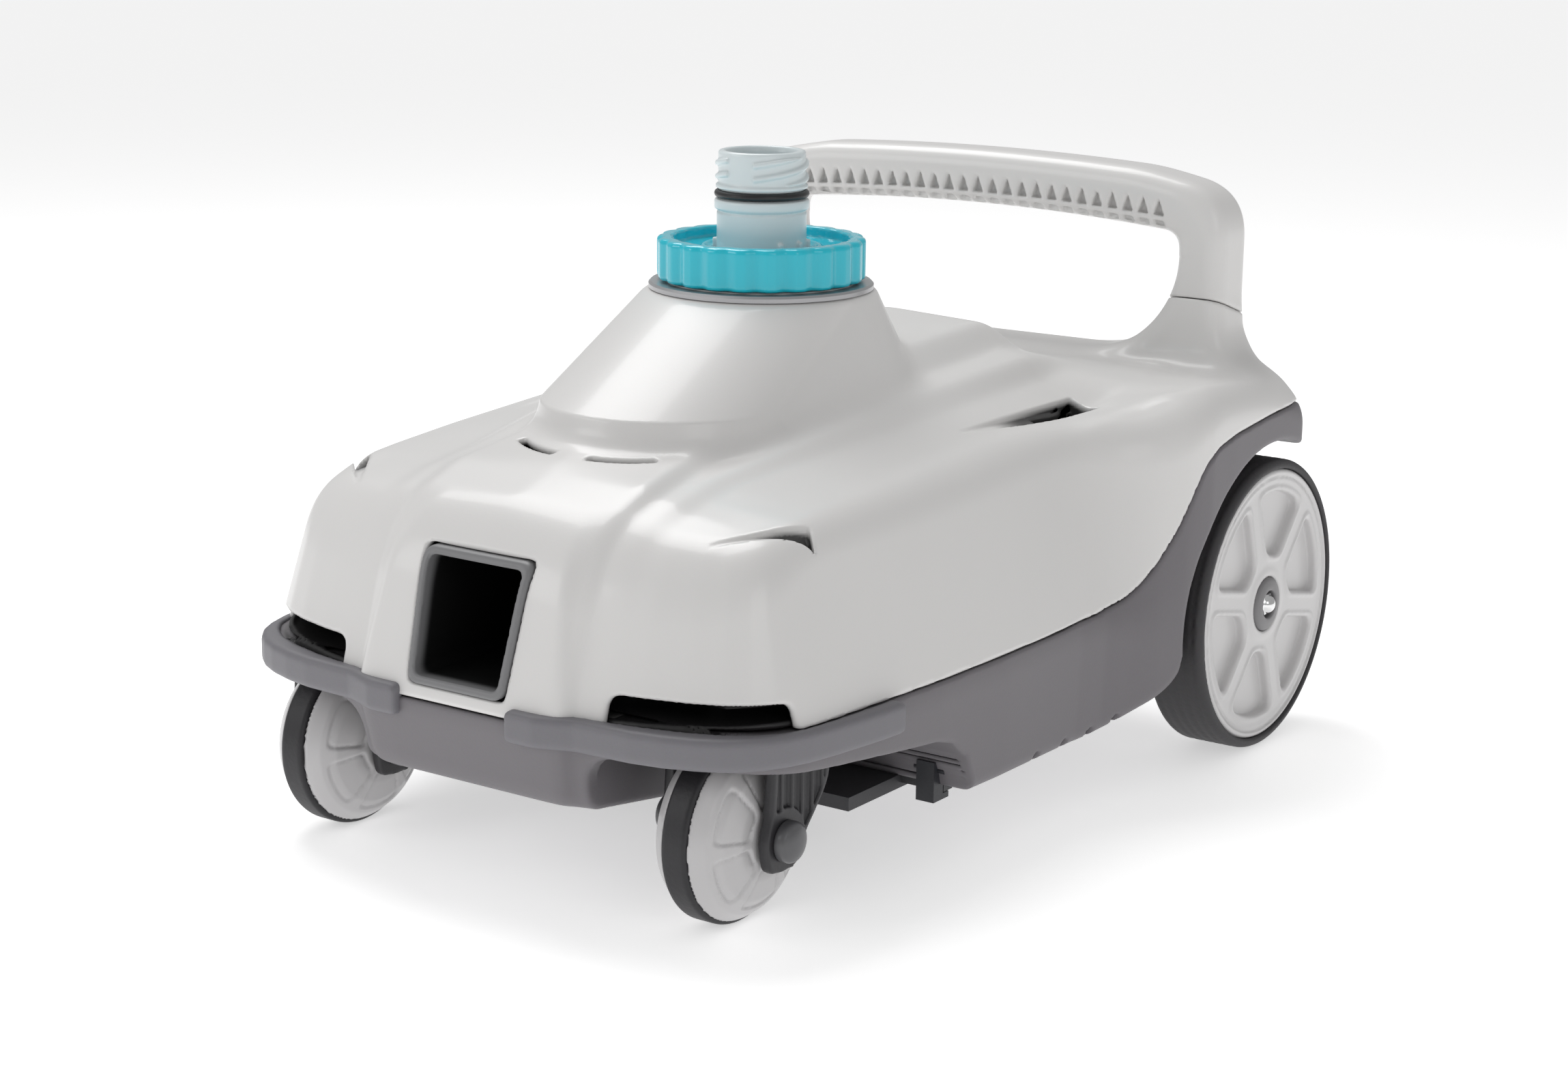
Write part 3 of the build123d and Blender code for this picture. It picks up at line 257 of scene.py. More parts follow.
def turret(x, y, z):
    """The housing under the hose connection, drawn out to a rounded toe at the front."""
    drop = np.clip((TURRET_TOP - z) / (TURRET_TOP - TOE_Z), 0, 1)
    down = TURRET_TOP - z
    reach = (TOE_Y - HOSE_Y) * drop
    along = np.clip((y - HOSE_Y) / np.where(reach < -1e-3, reach, -1e-3), 0, 1)
    axis_y = HOSE_Y + along * reach
    r_back = TURRET_R + down * 0.466
    r_front = TURRET_R + (TOE_R - TURRET_R) * drop + np.clip(TOE_Z - z, 0, 40) * 0.25
    r = r_back + (r_front - r_back) * along
    steep = np.where((y < axis_y) & (z > TOE_Z), 0.60, 0.90)
    side = (np.hypot(x, y - axis_y) - r) * steep
    return smax(smax(side, z - TURRET_TOP, 3), 150 - z, 2)


def frame_arch(x, z, grow):
    """The handle's arch seen from behind: outside less the hand opening."""
    ax = np.abs(x)
    top = HANDLE_TOP - 2.2 * (ax / 85) ** 2 - 5.5 * ramp((ax - 85) / 60)
    outer = smax(ax - HANDLE_HALF - grow - 3 * ramp((215 - z) / 35), (z - top - grow) * 0.97, 22)
    over = z - (HAND_TOP - 4.6 * (ax / 105) ** 2)
    corner = (np.hypot(np.maximum(ax - 55, 0) / 58.8, (z - 232) / 52.5) - 1) * 50
    beside = np.where(z > 232, ax - HAND_HALF, corner)
    opening = smax(beside, over, 9)
    return smax(outer, -(opening + grow), 1.0)


def handle(x, y, z):
    """Handle legs and grip in one."""
    depth = np.abs(y - HANDLE_Y) - HANDLE_HALF_D
    return smax(smax(frame_arch(x, z, 0), depth, 10), 158 - z, 2)


def seam(y, z):
    """Positive above the joint of grip and legs."""
    return (z - SEAM_Z + SEAM_SLOPE * (y - 160)) / math.hypot(1, SEAM_SLOPE)


def wells(x, y, z):
    """The spaces round the wheels: negative inside them."""
    ax = np.abs(x)
    arch = np.hypot(y - REAR_Y, z - REAR_R) - ARCH_R
    arch = np.minimum(arch, np.maximum(REAR_Y - y, z - 142))
    arch = np.minimum(arch, np.maximum(REAR_Y - ARCH_R - y, z - 60))
    rear = smax(arch, WELL_X - ax, 3)
    below = smax(BAY_X - ax, z - line_at(SKIRT, y), 16)
    cut = smax(below, y + 60 - 44 * ramp((LATCH_BAY_X + 6 - ax) / 12), 5)
    inside = np.maximum(np.maximum(BAY_X - ax, z - BAY_ROOF), y - BAY_BACK)
    inside = smax(inside, plan(ax, y) + 3.6 + (DRAFT_Z - z) * 0.05, 2)
    inside = np.maximum(inside, plan(ax, y) + 5.5 + 4 * ramp((-190 - y) / 20))
    return np.minimum(np.minimum(rear, cut), inside)


def slot_row(x, y, z, tip, end, widths, depths, hole):
    """A recess whose floor slopes down from its tip, and the opening that goes through at its deep end."""
    ax = np.abs(x)
    length = math.hypot(end[0] - tip[0], end[1] - tip[1])
    cx, cy = (end[0] - tip[0]) / length, (end[1] - tip[1]) / length
    along = (ax - tip[0]) * cx + (y - tip[1]) * cy
    over = -(ax - tip[0]) * cy + (y - tip[1]) * cx
    t = np.clip(along / length, 0, 1)
    half = widths[0] + (widths[1] - widths[0]) * t
    deep = depths[0] + (depths[1] - depths[0]) * t
    floor = body(x, y, z) + deep
    sides = smax(np.abs(over) - half, np.abs(along - length / 2) - length / 2, 0.8)
    recess = smax(sides, -floor, 1.0)
    rear_part = np.abs(along - length * (hole + 1) / 2) - length * (1 - hole) / 2
    through = smax(np.abs(over) - half + 1.0, rear_part, 1.0)
    return np.minimum(recess, np.maximum(through, 135 - z))


def slots(x, y, z):
    """The front vents, the deck slots and the slots round the turret's toe: negative inside them."""
    front = slot_row(x, y, z, FRONT_VENT[0], FRONT_VENT[1], (0.8, 4.4), (0.2, 4.4), 0.60)
    deck = slot_row(x, y, z, DECK_SLOT[0], DECK_SLOT[1], (0.8, 9.0), (0.3, 6.0), 0.60)
    r = np.hypot(x, y + 93.0) - 59.5
    turn = np.degrees(np.arctan2(np.abs(x), -(y + 93.0)))
    toe = smax(np.abs(r) - 1.9, np.abs(turn - 23) * 1.05 - 15.5, 2)
    return np.minimum(np.minimum(front, deck), np.maximum(toe, 160 - z))


def slot_backing(x, y, z):
    """Extra wall under the slots' sloping floors."""
    ax = np.abs(x)
    pads = []
    for (x0, y0), (x1, y1), half in ((*FRONT_VENT, 7.5), (*DECK_SLOT, 9.5)):
        length = math.hypot(x1 - x0, y1 - y0)
        cx, cy = (x1 - x0) / length, (y1 - y0) / length
        along = (ax - x0) * cx + (y - y0) * cy
        over = -(ax - x0) * cy + (y - y0) * cx
        pads.append(np.maximum(np.abs(over) - half, np.abs(along - length / 2) - length / 2 - 3))
    return np.minimum(*pads)


def mouth_half(z):
    """Half width of the front nozzle's rim, which widens upwards."""
    return 25.6 + (z - 88) * (28.8 - 25.6) / 55


def whole(x, y, z):
    """Body, turret and handle legs blended together, with the wheel wells taken out."""
    f = body(x, y, z)
    f = smin(f, turret(x, y, z), 7)
    legs = smax(handle(x, y, z), seam(y, z), 0.6)
    ax = np.abs(x)
    foot = smax(smax(np.abs(ax - 140) - 20, np.abs(y - 176) - 13, 14), z - 184, 16)
    legs = smin(legs, foot, 16)
    f = smin(f, legs, 13)
    return smax(f, -wells(x, y, z), 2.2)


def mouth(x, y, z, grow):
    """The opening in the cover for the front nozzle."""
    u = np.abs(x) - mouth_half(z) - grow
    v = np.maximum(z - NOZZLE_TOP, NOZZLE_LOW - z) - grow
    return np.maximum(smax(u, v, 3.5), y + 60)


def outlet(x, z, grow):
    """The rear outlet's outline."""
    return smax(np.abs(x) - OUTLET_HALF_W - grow, np.abs(z - OUTLET_Z) - OUTLET_HALF_H - grow, 5)


def cover(x, y, z):
    """The upper half of the housing: a wall under the outside, open where the slots and nozzles are."""
    ax = np.abs(x)
    f = whole(x, y, z)
    wall = WALL + 9.0 * ramp(-slot_backing(x, y, z) / 3)
    shell = smax(f, -(f + wall), 0.8)
    shell = smax(shell, joint(y, z) + JOINT_GAP * 0.5, 1.0)
    shell = smax(shell, -slots(x, y, z), 0.9)
    corner = smax(smax(z - 97.0, 70 - ax, 6), y + 181, 5)
    shell = smax(shell, -np.maximum(corner, 40 - z), 1.5)
    shell = smax(shell, -mouth(x, y, z, 0.3), 0.8)
    hole = np.maximum(np.hypot(x, y - HOSE_Y) - 24.5, 215 - z)
    shell = np.maximum(shell, -hole)
    return np.maximum(shell, -np.maximum(outlet(x, z, 0.3), 185 - y))


def chassis(x, y, z):
    """The lower half of the housing: a lip inside the joint, the bay roofs, drain holes and screw holes."""
    ax = np.abs(x)
    cut = wells(x, y, z)
    f = smax(body(x, y, z), -cut, 2.2)
    shell = smax(f, -(f + WALL), 0.8)
    shell = smax(shell, JOINT_GAP * 0.5 - joint(y, z), 1.0)
    lip = smax(np.abs(f + WALL + 1.0) - 0.9, -joint(y, z) - 3.5, 0.8)
    lip = np.maximum(smax(lip, joint(y, z) - 5, 0.8), y - 196)
    shell = np.minimum(shell, np.maximum(lip, -cut))
    roof = np.maximum(np.abs(z - 84.7) - 1.4, plan(ax, y) + 5)
    shell = np.minimum(shell, np.maximum(np.maximum(roof, y - BAY_BACK), BAY_X - 2 - ax))
    holes = smax(np.abs(ax - 40) - 6, np.hypot(y + 213, z - 47) - 2.4, 1)
    for spot in (-12.0, 12.0, 32.0, 48.0):
        edge = line_at(UNDERSIDE, spot) + 3.0
        holes = np.minimum(holes, np.maximum(np.hypot(y - spot, z - edge) - 2.5, 138 - ax))
    shell = smax(shell, -holes, 0.8)
    shell = smax(shell, -np.maximum(mouth(x, y, z, 0.3), 80 - z), 0.5)
    suction = np.maximum(smax(ax - 63, np.abs(y + 76) - 13, 3), z - 40)
    shell = smax(shell, -suction, 1)
    return np.maximum(shell, -np.maximum(outlet(x, z, 0.3), 185 - y))


def grip(x, y, z):
    """The handle's separate upper part, with its rows of cored recesses."""
    f = smax(handle(x, y, z), 0.5 - seam(y, z), 0.8)
    u = (x / GRIP_PITCH - np.round(x / GRIP_PITCH - 0.5) - 0.5) * GRIP_PITCH
    row = np.abs(x) - GRIP_RECESSES * GRIP_PITCH
    sag = 3.6 * (x / 105) ** 2
    tri = smax(np.abs(u) * 0.93 + (z + sag - 258) * 0.36 - 1.55, 254.2 - z - sag, 0.9)
    small = smax(np.abs(u) - 2.7, np.abs(z + sag - 250.6) - 1.25, 0.7)
    depth = y - (HANDLE_Y - HANDLE_HALF_D) - 5.0
    return smax(f, -np.maximum(np.minimum(tri, small), np.maximum(row, depth)), 0.7)


def bumper_table():
    """Signed distance to a bumper's outline, closed well inside the body."""
    inner = [(x * 0.5, y * 0.5) for x, y in (BUMPER_FACE[-1], BUMPER_FACE[0])]
    return outline_table(BUMPER_FACE + inner, (0, 215), (-262, 0), 0.8)


bumper_outline = bumper_table()


def bumper(x, y, z):
    """A resilient strip round a front corner."""
    outer = bumper_outline(np.abs(x), y)
    outer = smax(outer, np.maximum(28.5 - np.abs(x), y + 123), 3)
    f = smax(outer, np.abs(z - BUMPER_Z) - BUMPER_HALF_H, 3.2)
    return smax(f, -plan(np.abs(x), y) - 0.35, 0.8)


# ---------------------------------------------------------------- meshing
def mesh_arrays(field, low, high, step):
    """Vertices and quads of a field's zero surface, by surface nets on a grid, drawn onto the surface."""
    low, high = np.array(low, float), np.array(high, float)
    size = 8
    n = (np.ceil((high - low) / step / size).astype(int) + 1) * size
    axes = [low[i] + step * np.arange(n[i]) for i in range(3)]
    blocks = n // size
    mids = [low[i] + step * (size * np.arange(blocks[i]) + (size - 1) / 2) for i in range(3)]
    coarse = field(*np.meshgrid(*mids, indexing="ij")).astype(np.float32)
    near = np.abs(coarse) < step * size * 0.87 * 1.5 + 4.5
    values = np.repeat(np.repeat(np.repeat(coarse, size, 0), size, 1), size, 2)
    spots = np.argwhere(near)
    within = np.arange(size)
    for start in range(0, len(spots), 600):
        part = spots[start:start + 600]
        idx = [(part[:, a, None] * size + within) for a in range(3)]
        X = axes[0][idx[0]][:, :, None, None] + np.zeros((1, 1, size, size))
        Y = axes[1][idx[1]][:, None, :, None] + np.zeros((1, size, 1, size))
        Z = axes[2][idx[2]][:, None, None, :] + np.zeros((1, size, size, 1))
        got = field(X, Y, Z)
        values[idx[0][:, :, None, None], idx[1][:, None, :, None], idx[2][:, None, None, :]] = got
    inside = values < 0
    corners = [(i, j, k) for i in (0, 1) for j in (0, 1) for k in (0, 1)]
    m = n - 1
    count = np.zeros(m, np.int8)
    for i, j, k in corners:
        count += inside[i:m[0] + i, j:m[1] + j, k:m[2] + k]
    active = (count > 0) & (count < 8)
    cells = np.argwhere(active)
    number = np.full(active.shape, -1, np.int64)
    number[active] = np.arange(len(cells))
    total, weight = np.zeros((len(cells), 3)), np.zeros(len(cells))
    for a in corners:
        for axis in range(3):
            if a[axis]:
                continue
            b = list(a)
            b[axis] = 1
            va = values[cells[:, 0] + a[0], cells[:, 1] + a[1], cells[:, 2] + a[2]]
            vb = values[cells[:, 0] + b[0], cells[:, 1] + b[1], cells[:, 2] + b[2]]
            cross = (va < 0) != (vb < 0)
            t = np.where(cross, va / np.where(cross, va - vb, 1), 0)
            point = np.array(a, float) + 0 * total
            point[:, axis] += t
            total += point * cross[:, None]
            weight += cross
    verts = low + step * (cells + total / weight[:, None])
    quads = []
    for axis in range(3):
        u, v = (axis + 1) % 3, (axis + 2) % 3
        take = [slice(1, -1)] * 3
        take[axis] = slice(0, -1)
        step_up = [slice(1, -1)] * 3
        step_up[axis] = slice(1, None)
        here, there = inside[tuple(take)], inside[tuple(step_up)]
        edge = np.argwhere(here != there)
        offset = np.ones(3, int)
        offset[axis] = 0
        edge = edge + offset
        ring = []
        for du, dv in ((-1, -1), (0, -1), (0, 0), (-1, 0)):
            c = edge.copy()
            c[:, u] += du
            c[:, v] += dv
            ring.append(number[c[:, 0], c[:, 1], c[:, 2]])
        ring = np.stack(ring, 1)
        flip = ~inside[edge[:, 0], edge[:, 1], edge[:, 2]]
        ring[flip] = ring[flip][:, ::-1]
        quads.append(ring)
    quads = np.vstack(quads)
    quads = quads[(quads >= 0).all(1)]
    e = 0.25 * step
    for _ in range(3):
        x, y, z = verts.T
        f = field(x, y, z)
        g = np.stack([field(x + e, y, z) - field(x - e, y, z), field(x, y + e, z) - field(x, y - e, z),
                      field(x, y, z + e) - field(x, y, z - e)], 1) / (2 * e)
        g2 = np.maximum((g * g).sum(1), 0.2)
        move = -(f / g2)[:, None] * g
        far = np.maximum(1, np.linalg.norm(move, axis=1) / (0.45 * step))
        verts = verts + move / far[:, None]
    return verts, quads


def make_piece(name, field, low, high, step, body_name, material, replaces, shade=None):
    """A mesh object from a field. shade gives each vertex a share of the material's colour, used for painted
    shade.
    """
    verts, quads = mesh_arrays(field, low, high, step)
    return place(name, verts, quads, body_name, material, replaces, shade=shade)


def painted_inner_shade(x, y, z):
    """Painted shade: full colour on the outside of the body, and darkened on the inner faces of its walls,
    where shade falls inside the body.
    """
    return 1 - 0.93 * ramp((-1.6 - whole(x, y, z)) / 1.6)


def place(name, verts, quads, body_name, material, replaces, mirror=False, shade=None):
    """A smooth mesh object in metres, riding on its body in place of its CAD nodes."""
    if mirror:
        verts = verts * np.array([-1.0, 1.0, 1.0])
        quads = quads[:, ::-1]
    mesh = bpy.data.meshes.new(name)
    mesh.from_pydata((verts / 1000).tolist(), [], quads.tolist())
    mesh.shade_smooth()
    mesh.update()
    obj = bpy.data.objects.new(name, mesh)
    bpy.context.collection.objects.link(obj)
    obj.data.materials.append(material)
    # per-vertex share of the colour, which carries painted shade
    layer = mesh.attributes.new("shade", "FLOAT", "POINT")
    layer.data.foreach_set("value", np.ones(len(verts)) if shade is None else shade(*verts.T))
    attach(obj, body_name)
    if replaces:
        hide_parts(*replaces)
    return obj


def make_pair(name, field, low, high, step, body_name, material, replaces):
    """The right-hand piece and its mirror image. Names take _right and _left."""
    verts, quads = mesh_arrays(field, low, high, step)
    for side, mirror in (("right", False), ("left", True)):
        nodes = [f"{n}_{side}" for n in replaces]
        ridden = body_name if body_name in frame["bodies"] else f"{body_name}_{side}"
        place(f"{name}_{side}", verts, quads, ridden, material, nodes, mirror)


# ---------------------------------------------------------------- materials
def plastic(name, color, rough, grain=0.03, grain_size=900.0, bump=0.02, coat=0.0, tint=0.03, metal=0.0,
            shaded=False):
    """Moulded plastic, rubber or metal with slight clouding, fine grain and uneven gloss. With shaded, the
    colour is multiplied by the mesh's shade attribute, which paints shade.
    """
    mat = bpy.data.materials.new(name)
    mat.use_nodes = True
    nodes, links = mat.node_tree.nodes, mat.node_tree.links
    bsdf = nodes["Principled BSDF"]
    coords = nodes.new("ShaderNodeTexCoord")
    cloud = nodes.new("ShaderNodeTexNoise")
    cloud.inputs["Scale"].default_value = 14.0
    cloud.inputs["Detail"].default_value = 3.0
    links.new(coords.outputs["Object"], cloud.inputs["Vector"])
    fine = nodes.new("ShaderNodeTexNoise")
    fine.inputs["Scale"].default_value = grain_size
    fine.inputs["Detail"].default_value = 2.0
    links.new(coords.outputs["Object"], fine.inputs["Vector"])
    mix = nodes.new("ShaderNodeMixRGB")
    mix.inputs["Color1"].default_value = (*[c * (1 - tint) for c in color], 1)
    mix.inputs["Color2"].default_value = (*[min(1, c * (1 + tint)) for c in color], 1)
    links.new(cloud.outputs["Fac"], mix.inputs["Fac"])
    speck = nodes.new("ShaderNodeMixRGB")
    speck.blend_type = "MULTIPLY"
    speck.inputs["Fac"].default_value = grain
    links.new(mix.outputs["Color"], speck.inputs["Color1"])
    links.new(fine.outputs["Color"], speck.inputs["Color2"])
    # painted shade: the base colour is multiplied by the per-vertex shade attribute
    if shaded:
        share = nodes.new("ShaderNodeAttribute")
        share.attribute_name = "shade"
        dim = nodes.new("ShaderNodeMixRGB")
        dim.blend_type = "MULTIPLY"
        dim.inputs["Fac"].default_value = 1.0
        links.new(speck.outputs["Color"], dim.inputs["Color1"])
        links.new(share.outputs["Color"], dim.inputs["Color2"])
        links.new(dim.outputs["Color"], bsdf.inputs["Base Color"])
    else:
        links.new(speck.outputs["Color"], bsdf.inputs["Base Color"])
    gloss = nodes.new("ShaderNodeMapRange")
    gloss.inputs["To Min"].default_value = rough - 0.05
    gloss.inputs["To Max"].default_value = rough + 0.05
    links.new(cloud.outputs["Fac"], gloss.inputs["Value"])
    links.new(gloss.outputs["Result"], bsdf.inputs["Roughness"])
    dent = nodes.new("ShaderNodeBump")
    dent.inputs["Strength"].default_value = bump
    dent.inputs["Distance"].default_value = 0.0004
    links.new(fine.outputs["Fac"], dent.inputs["Height"])
    links.new(dent.outputs["Normal"], bsdf.inputs["Normal"])
    bsdf.inputs["Metallic"].default_value = metal
    bsdf.inputs["Coat Weight"].default_value = coat
    bsdf.inputs["Coat Roughness"].default_value = 0.12
    return mat


# cover, chassis and nozzle materials take painted shade from the shade attribute
WHITE = plastic("cover_white", (0.735, 0.725, 0.715), 0.36, bump=0.05, coat=0.25, tint=0.014,
                shaded=True)
COLLAR = plastic("collar_white", (0.72, 0.72, 0.71), 0.36, bump=0.03, coat=0.2, tint=0.012, grain=0.02)
GREY = plastic("chassis_grey", (0.170, 0.160, 0.172), 0.46, bump=0.14, tint=0.03, grain=0.10, shaded=True)
NOZZLE = plastic("nozzle_grey", (0.20, 0.20, 0.205), 0.42, bump=0.06, shaded=True)
SLATE = plastic("bumper_slate", (0.185, 0.180, 0.196), 0.50, bump=0.15, grain=0.1)
SILVER = plastic("ring_silver", (0.42, 0.42, 0.43), 0.30, metal=0.6, bump=0.03)
NUT = plastic("nut_teal", (0.006, 0.53, 0.66), 0.24, coat=0.5, bump=0.03, tint=0.05)
ADAPTER = plastic("adapter_white", (0.70, 0.77, 0.785), 0.30, coat=0.2, bump=0.02, tint=0.02)
BLACK = plastic("seal_black", (0.012, 0.012, 0.013), 0.40, bump=0.1)
INNER = plastic("inner_grey", (0.06, 0.062, 0.065), 0.5, bump=0.1)
GEAR = plastic("gear_white", (0.62, 0.60, 0.54), 0.4, bump=0.05)
STEEL = plastic("steel", (0.58, 0.58, 0.58), 0.25, metal=1.0, bump=0.05)
PLATE = plastic("plate_grey", (0.05, 0.05, 0.054), 0.5, bump=0.1)
LATCH = plastic("latch_black", (0.022, 0.023, 0.028), 0.40, bump=0.1)
DISC = plastic("rear_disc_white", (0.64, 0.63, 0.63), 0.36, coat=0.15, bump=0.04, tint=0.014)
TYRE = plastic("tyre_dark", (0.045, 0.043, 0.046), 0.60, bump=0.3, grain=0.2, grain_size=500)
HUB = plastic("hub_grey", (0.20, 0.195, 0.20), 0.40, bump=0.06)
CHROME = plastic("nut_chrome", (0.80, 0.80, 0.80), 0.12, metal=1.0, bump=0.02)
FORK = plastic("fork_grey", (0.024, 0.023, 0.026), 0.42, bump=0.15)
CAP = plastic("cap_grey", (0.10, 0.10, 0.105), 0.34, bump=0.08)
LIGHT = plastic("caster_light", (0.54, 0.53, 0.535), 0.34, coat=0.15, bump=0.04, tint=0.02)
BAND = plastic("band_black", (0.016, 0.015, 0.018), 0.5, bump=0.3, grain=0.2, grain_size=500)
BY_SLOT = {"cover_white": WHITE, "chassis_grey": GREY, "nozzle_grey": NOZZLE, "bumper_slate": SLATE,
           "ring_silver": SILVER, "collar_white": COLLAR, "seal_black": BLACK, "nut_teal": NUT,
           "adapter_white": ADAPTER, "inner_grey": INNER, "gear_white": GEAR, "steel": STEEL,
           "plate_grey": PLATE, "latch_black": LATCH, "rear_disc_white": DISC, "tyre_dark": TYRE,
           "hub_grey": HUB, "nut_chrome": CHROME, "fork_grey": FORK, "caster_light": LIGHT,
           "band_black": BAND}
for part in frame["record"]["subparts"]:
    node = frame["nodes"][part["node"]]
    node.data.materials.clear()
    node.data.materials.append(BY_SLOT[part["material_slot"]])

# ---------------------------------------------------------------- body pieces
# cover and chassis are darkened on their inner faces: painted shade
make_piece("cover_shell", cover, (-176, -236, 74), (176, 200, 232), 1.15, "chassis", WHITE,
           ["top_cover"], shade=painted_inner_shade)
make_piece("chassis_shell", chassis, (-176, -236, 24), (176, 200, 172), 1.25, "chassis", GREY,
           ["bottom_housing"], shade=painted_inner_shade)
make_piece("grip", grip, (-144, 156, 196), (144, 196, 280), 1.3, "chassis", WHITE,
           ["handle_grip"])
make_pair("bumper_strip", bumper, (24, -236, 70), (156, -119, 90), 1.2, "chassis", SLATE,
          ["bumper"])


# ---------------------------------------------------------------- nozzle and hose connection
def nozzle(x, y, z):
    """Rim on the cover's front and the duct behind it."""
    u = np.abs(x) - mouth_half(z)
    v = np.maximum(z - NOZZLE_TOP, NOZZLE_LOW - z)
    outside = smax(u, v, 6)
    hollow = smax(u + 3.6, v + 3.6, 4)
    front = body(x, y, z) - 1.4
    rim = smax(smax(outside + 0.2, front, 1.4), -(front + 4.5), 0.6)
    duct = np.maximum(np.maximum(hollow - 2.4, front + 1.0), y + 62.2)
    return smax(np.minimum(rim, duct), -hollow, 0.8)


def lock_nut(x, y, z):
    """The scalloped nut: fluted outside, a shallow dish on top and a thread's room below."""
    r = np.hypot(x, y - HOSE_Y)
    turn = np.arctan2(y - HOSE_Y, x)
    wave = np.cos(turn * NUT_FLUTES)
    lobes = np.sqrt(0.5 + 0.5 * np.clip(wave + 0.35, -1, 1))
    outer = (r - 43.9 - 2.9 * lobes) * 0.8
    side = smax(outer, np.maximum(z - NUT_TOP, NUT_LOW - z), 2.2)
    dish = smax((r - 38.6 - 1.2 * lobes) * 0.9, 245.6 - z, 1.4)
    ring = smax(side, -dish, 1.2)
    ring = smin(ring, np.hypot(r - 26.0, z - 245.6) - 1.5, 1.0)
    ring = smax(ring, -np.maximum(r - 41.6, z - 237.3), 0.6)
    return smax(ring, 22.4 - r, 1.0)


def tail(x, y, z):
    """Hose tail: ribbed neck, shoulder, O-ring groove and quick thread."""
    r = np.hypot(x, y - HOSE_Y)
    turn = np.arctan2(y - HOSE_Y, x)
    side = np.arctan2(y - HOSE_Y, np.abs(x))
    core = r - TAIL_R
    neck = smax(r - 20.1, z - 262.0, 1.0)
    for spot in (-30, 0, 30):
        across = r * np.sin(side - math.radians(spot))
        rib = smax(np.hypot(across, np.maximum(z - 248.5, 0)) - 1.2, r - 22.0, 0.8)
        neck = smin(neck, np.maximum(rib, 12 - r), 0.5)
    pad = smax(np.abs(x) - 3.6, np.maximum(z - 243.5, r - 21.6), 0.8)
    neck = smin(neck, np.maximum(pad, 12 - r), 0.5)
    shoulder = smax(r - 21.2, np.abs(z - 265.2) - 2.4, 1.4)
    lip = smax(r - 20.6, np.abs(z - 273.2) - 0.9, 0.8)
    flange = smax(r - 37, np.maximum(z - 236.7, 233.5 - z), 0.6)
    swept = np.mod(turn + math.radians(66), math.pi)
    rise = z - THREAD_Z - THREAD_LEAD * swept / (2 * math.pi)
    off = rise - np.round(rise / THREAD_PITCH) * THREAD_PITCH
    ends = np.maximum(np.abs(z - THREAD_MID_Z) - 6.0, (swept - 2.5) * 19)
    thread = smax(np.hypot((r - 19.7) * 0.9, off * 0.9) - 1.15, np.maximum(ends, -swept * 19), 0.8)
    solid = smin(np.minimum(core, neck), np.minimum(shoulder, lip), 0.8)
    solid = smin(solid, thread, 0.6)
    solid = smax(smax(np.minimum(solid, flange), z - TAIL_TOP, 1.6), TAIL_LOW - z, 0.5)
    groove = np.hypot(r - 19.55, z - ORING_Z) - 1.75
    bore = r - TAIL_BORE_R - ramp((z - 286.5) / 2.5) * 0.8
    return smax(smax(solid, -groove, 0.5), -bore, 0.8)


def painted_duct_shade(x, y, z):
    """Painted shade: full colour on the nozzle's rim, and darkened down its duct, where shade falls."""
    return 1 - 0.97 * ramp((-1.2 - body(x, y, z)) / 5)


# the nozzle's duct is darkened inside: painted shade
make_piece("nozzle_rim", nozzle, (-33, -232, 82), (33, -58, 148), 1.15, "chassis", NOZZLE,
           ["front_nozzle"], shade=painted_duct_shade)
make_piece("lock_nut_shape", lock_nut, (-49, -66, 229), (49, 33, 253), 0.75, "lock_nut", NUT,
           ["lock_nut"])
make_piece("hose_tail", tail, (-39, -56, 219), (39, 23, 291), 0.7, "hose_adapter", ADAPTER,
           ["hose_adapter"])


# ---------------------------------------------------------------- rear wheels
def around_rear(x, y, z):
    """Distance out along the rear axle, radius and turn round it."""
    return x - REAR_X, np.hypot(y - REAR_Y, z - REAR_R), np.arctan2(z - REAR_R, y - REAR_Y)


def rear_disc(x, y, z):
    """The moulded rear wheel with its pocketed face."""
    a, r, turn = around_rear(x, y, z)
    rim = smax(smax(r - REAR_RIM_R, 60 - r, 2), np.abs(a + 0.2) - 14.2, 2.5)
    face = smax(r - 64, np.maximum(a - 13.2 - 0.6 * ramp((r - 56) / 8), 6.0 - a), 2.0)
    hub = smax(r - 17, np.maximum(a - 13.4, -14.3 - a), 2.5)
    f = smin(smin(rim, face, 1.5), hub, 2)
    # six pockets: straight spokes between them, round corners and level floors
    sector = 2 * math.pi / WHEEL_POCKETS
    local = np.mod(turn + math.radians(12), sector) - sector / 2
    beside = np.abs(r * np.sin(local)) - (r * np.cos(local) * math.tan(sector / 2) - 7.2)
    wall = smax(beside * 0.86, smax(r - 54.5, 23.5 - r, 4), 6)
    f = smax(f, -smax(wall, 8.9 - a, 0.9), 0.9)
    raised = smax(np.abs(wall - 1.6) - 0.8, a - 13.9, 0.6)
    f = smin(f, np.maximum(raised, 12 - a), 0.8)
    groove = np.hypot(a - 13.9, r - 61.6) - 0.8
    f = smax(f, -groove, 0.5)
    seat = np.maximum(r - 13.3, 9 - a)
    return smax(smax(f, -seat, 0.8), -(r - 6), 0.5)


def rear_tyre(x, y, z):
    """The tyre, with fine grooves round its tread."""
    a, r, _ = around_rear(x, y, z)
    tread = 0.35 * ramp(np.cos(a / 15 * 3 * 2 * math.pi) * 1.4)
    outside = r - REAR_R + 0.1 + tread * (np.abs(a) < 12)
    return smax(smax(outside, np.abs(a) - 14.9, 4.0), REAR_RIM_R + 0.1 - r, 0.8)


def hub_cap(x, y, z):
    """The grey ring in the middle of a rear wheel."""
    a, r, _ = around_rear(x, y, z)
    return smax(smax(r - 13, np.maximum(a - 15.4 + 1.0 * ramp((r - 8) / 6), 9 - a), 1.8), 6.6 - r, 1.0)


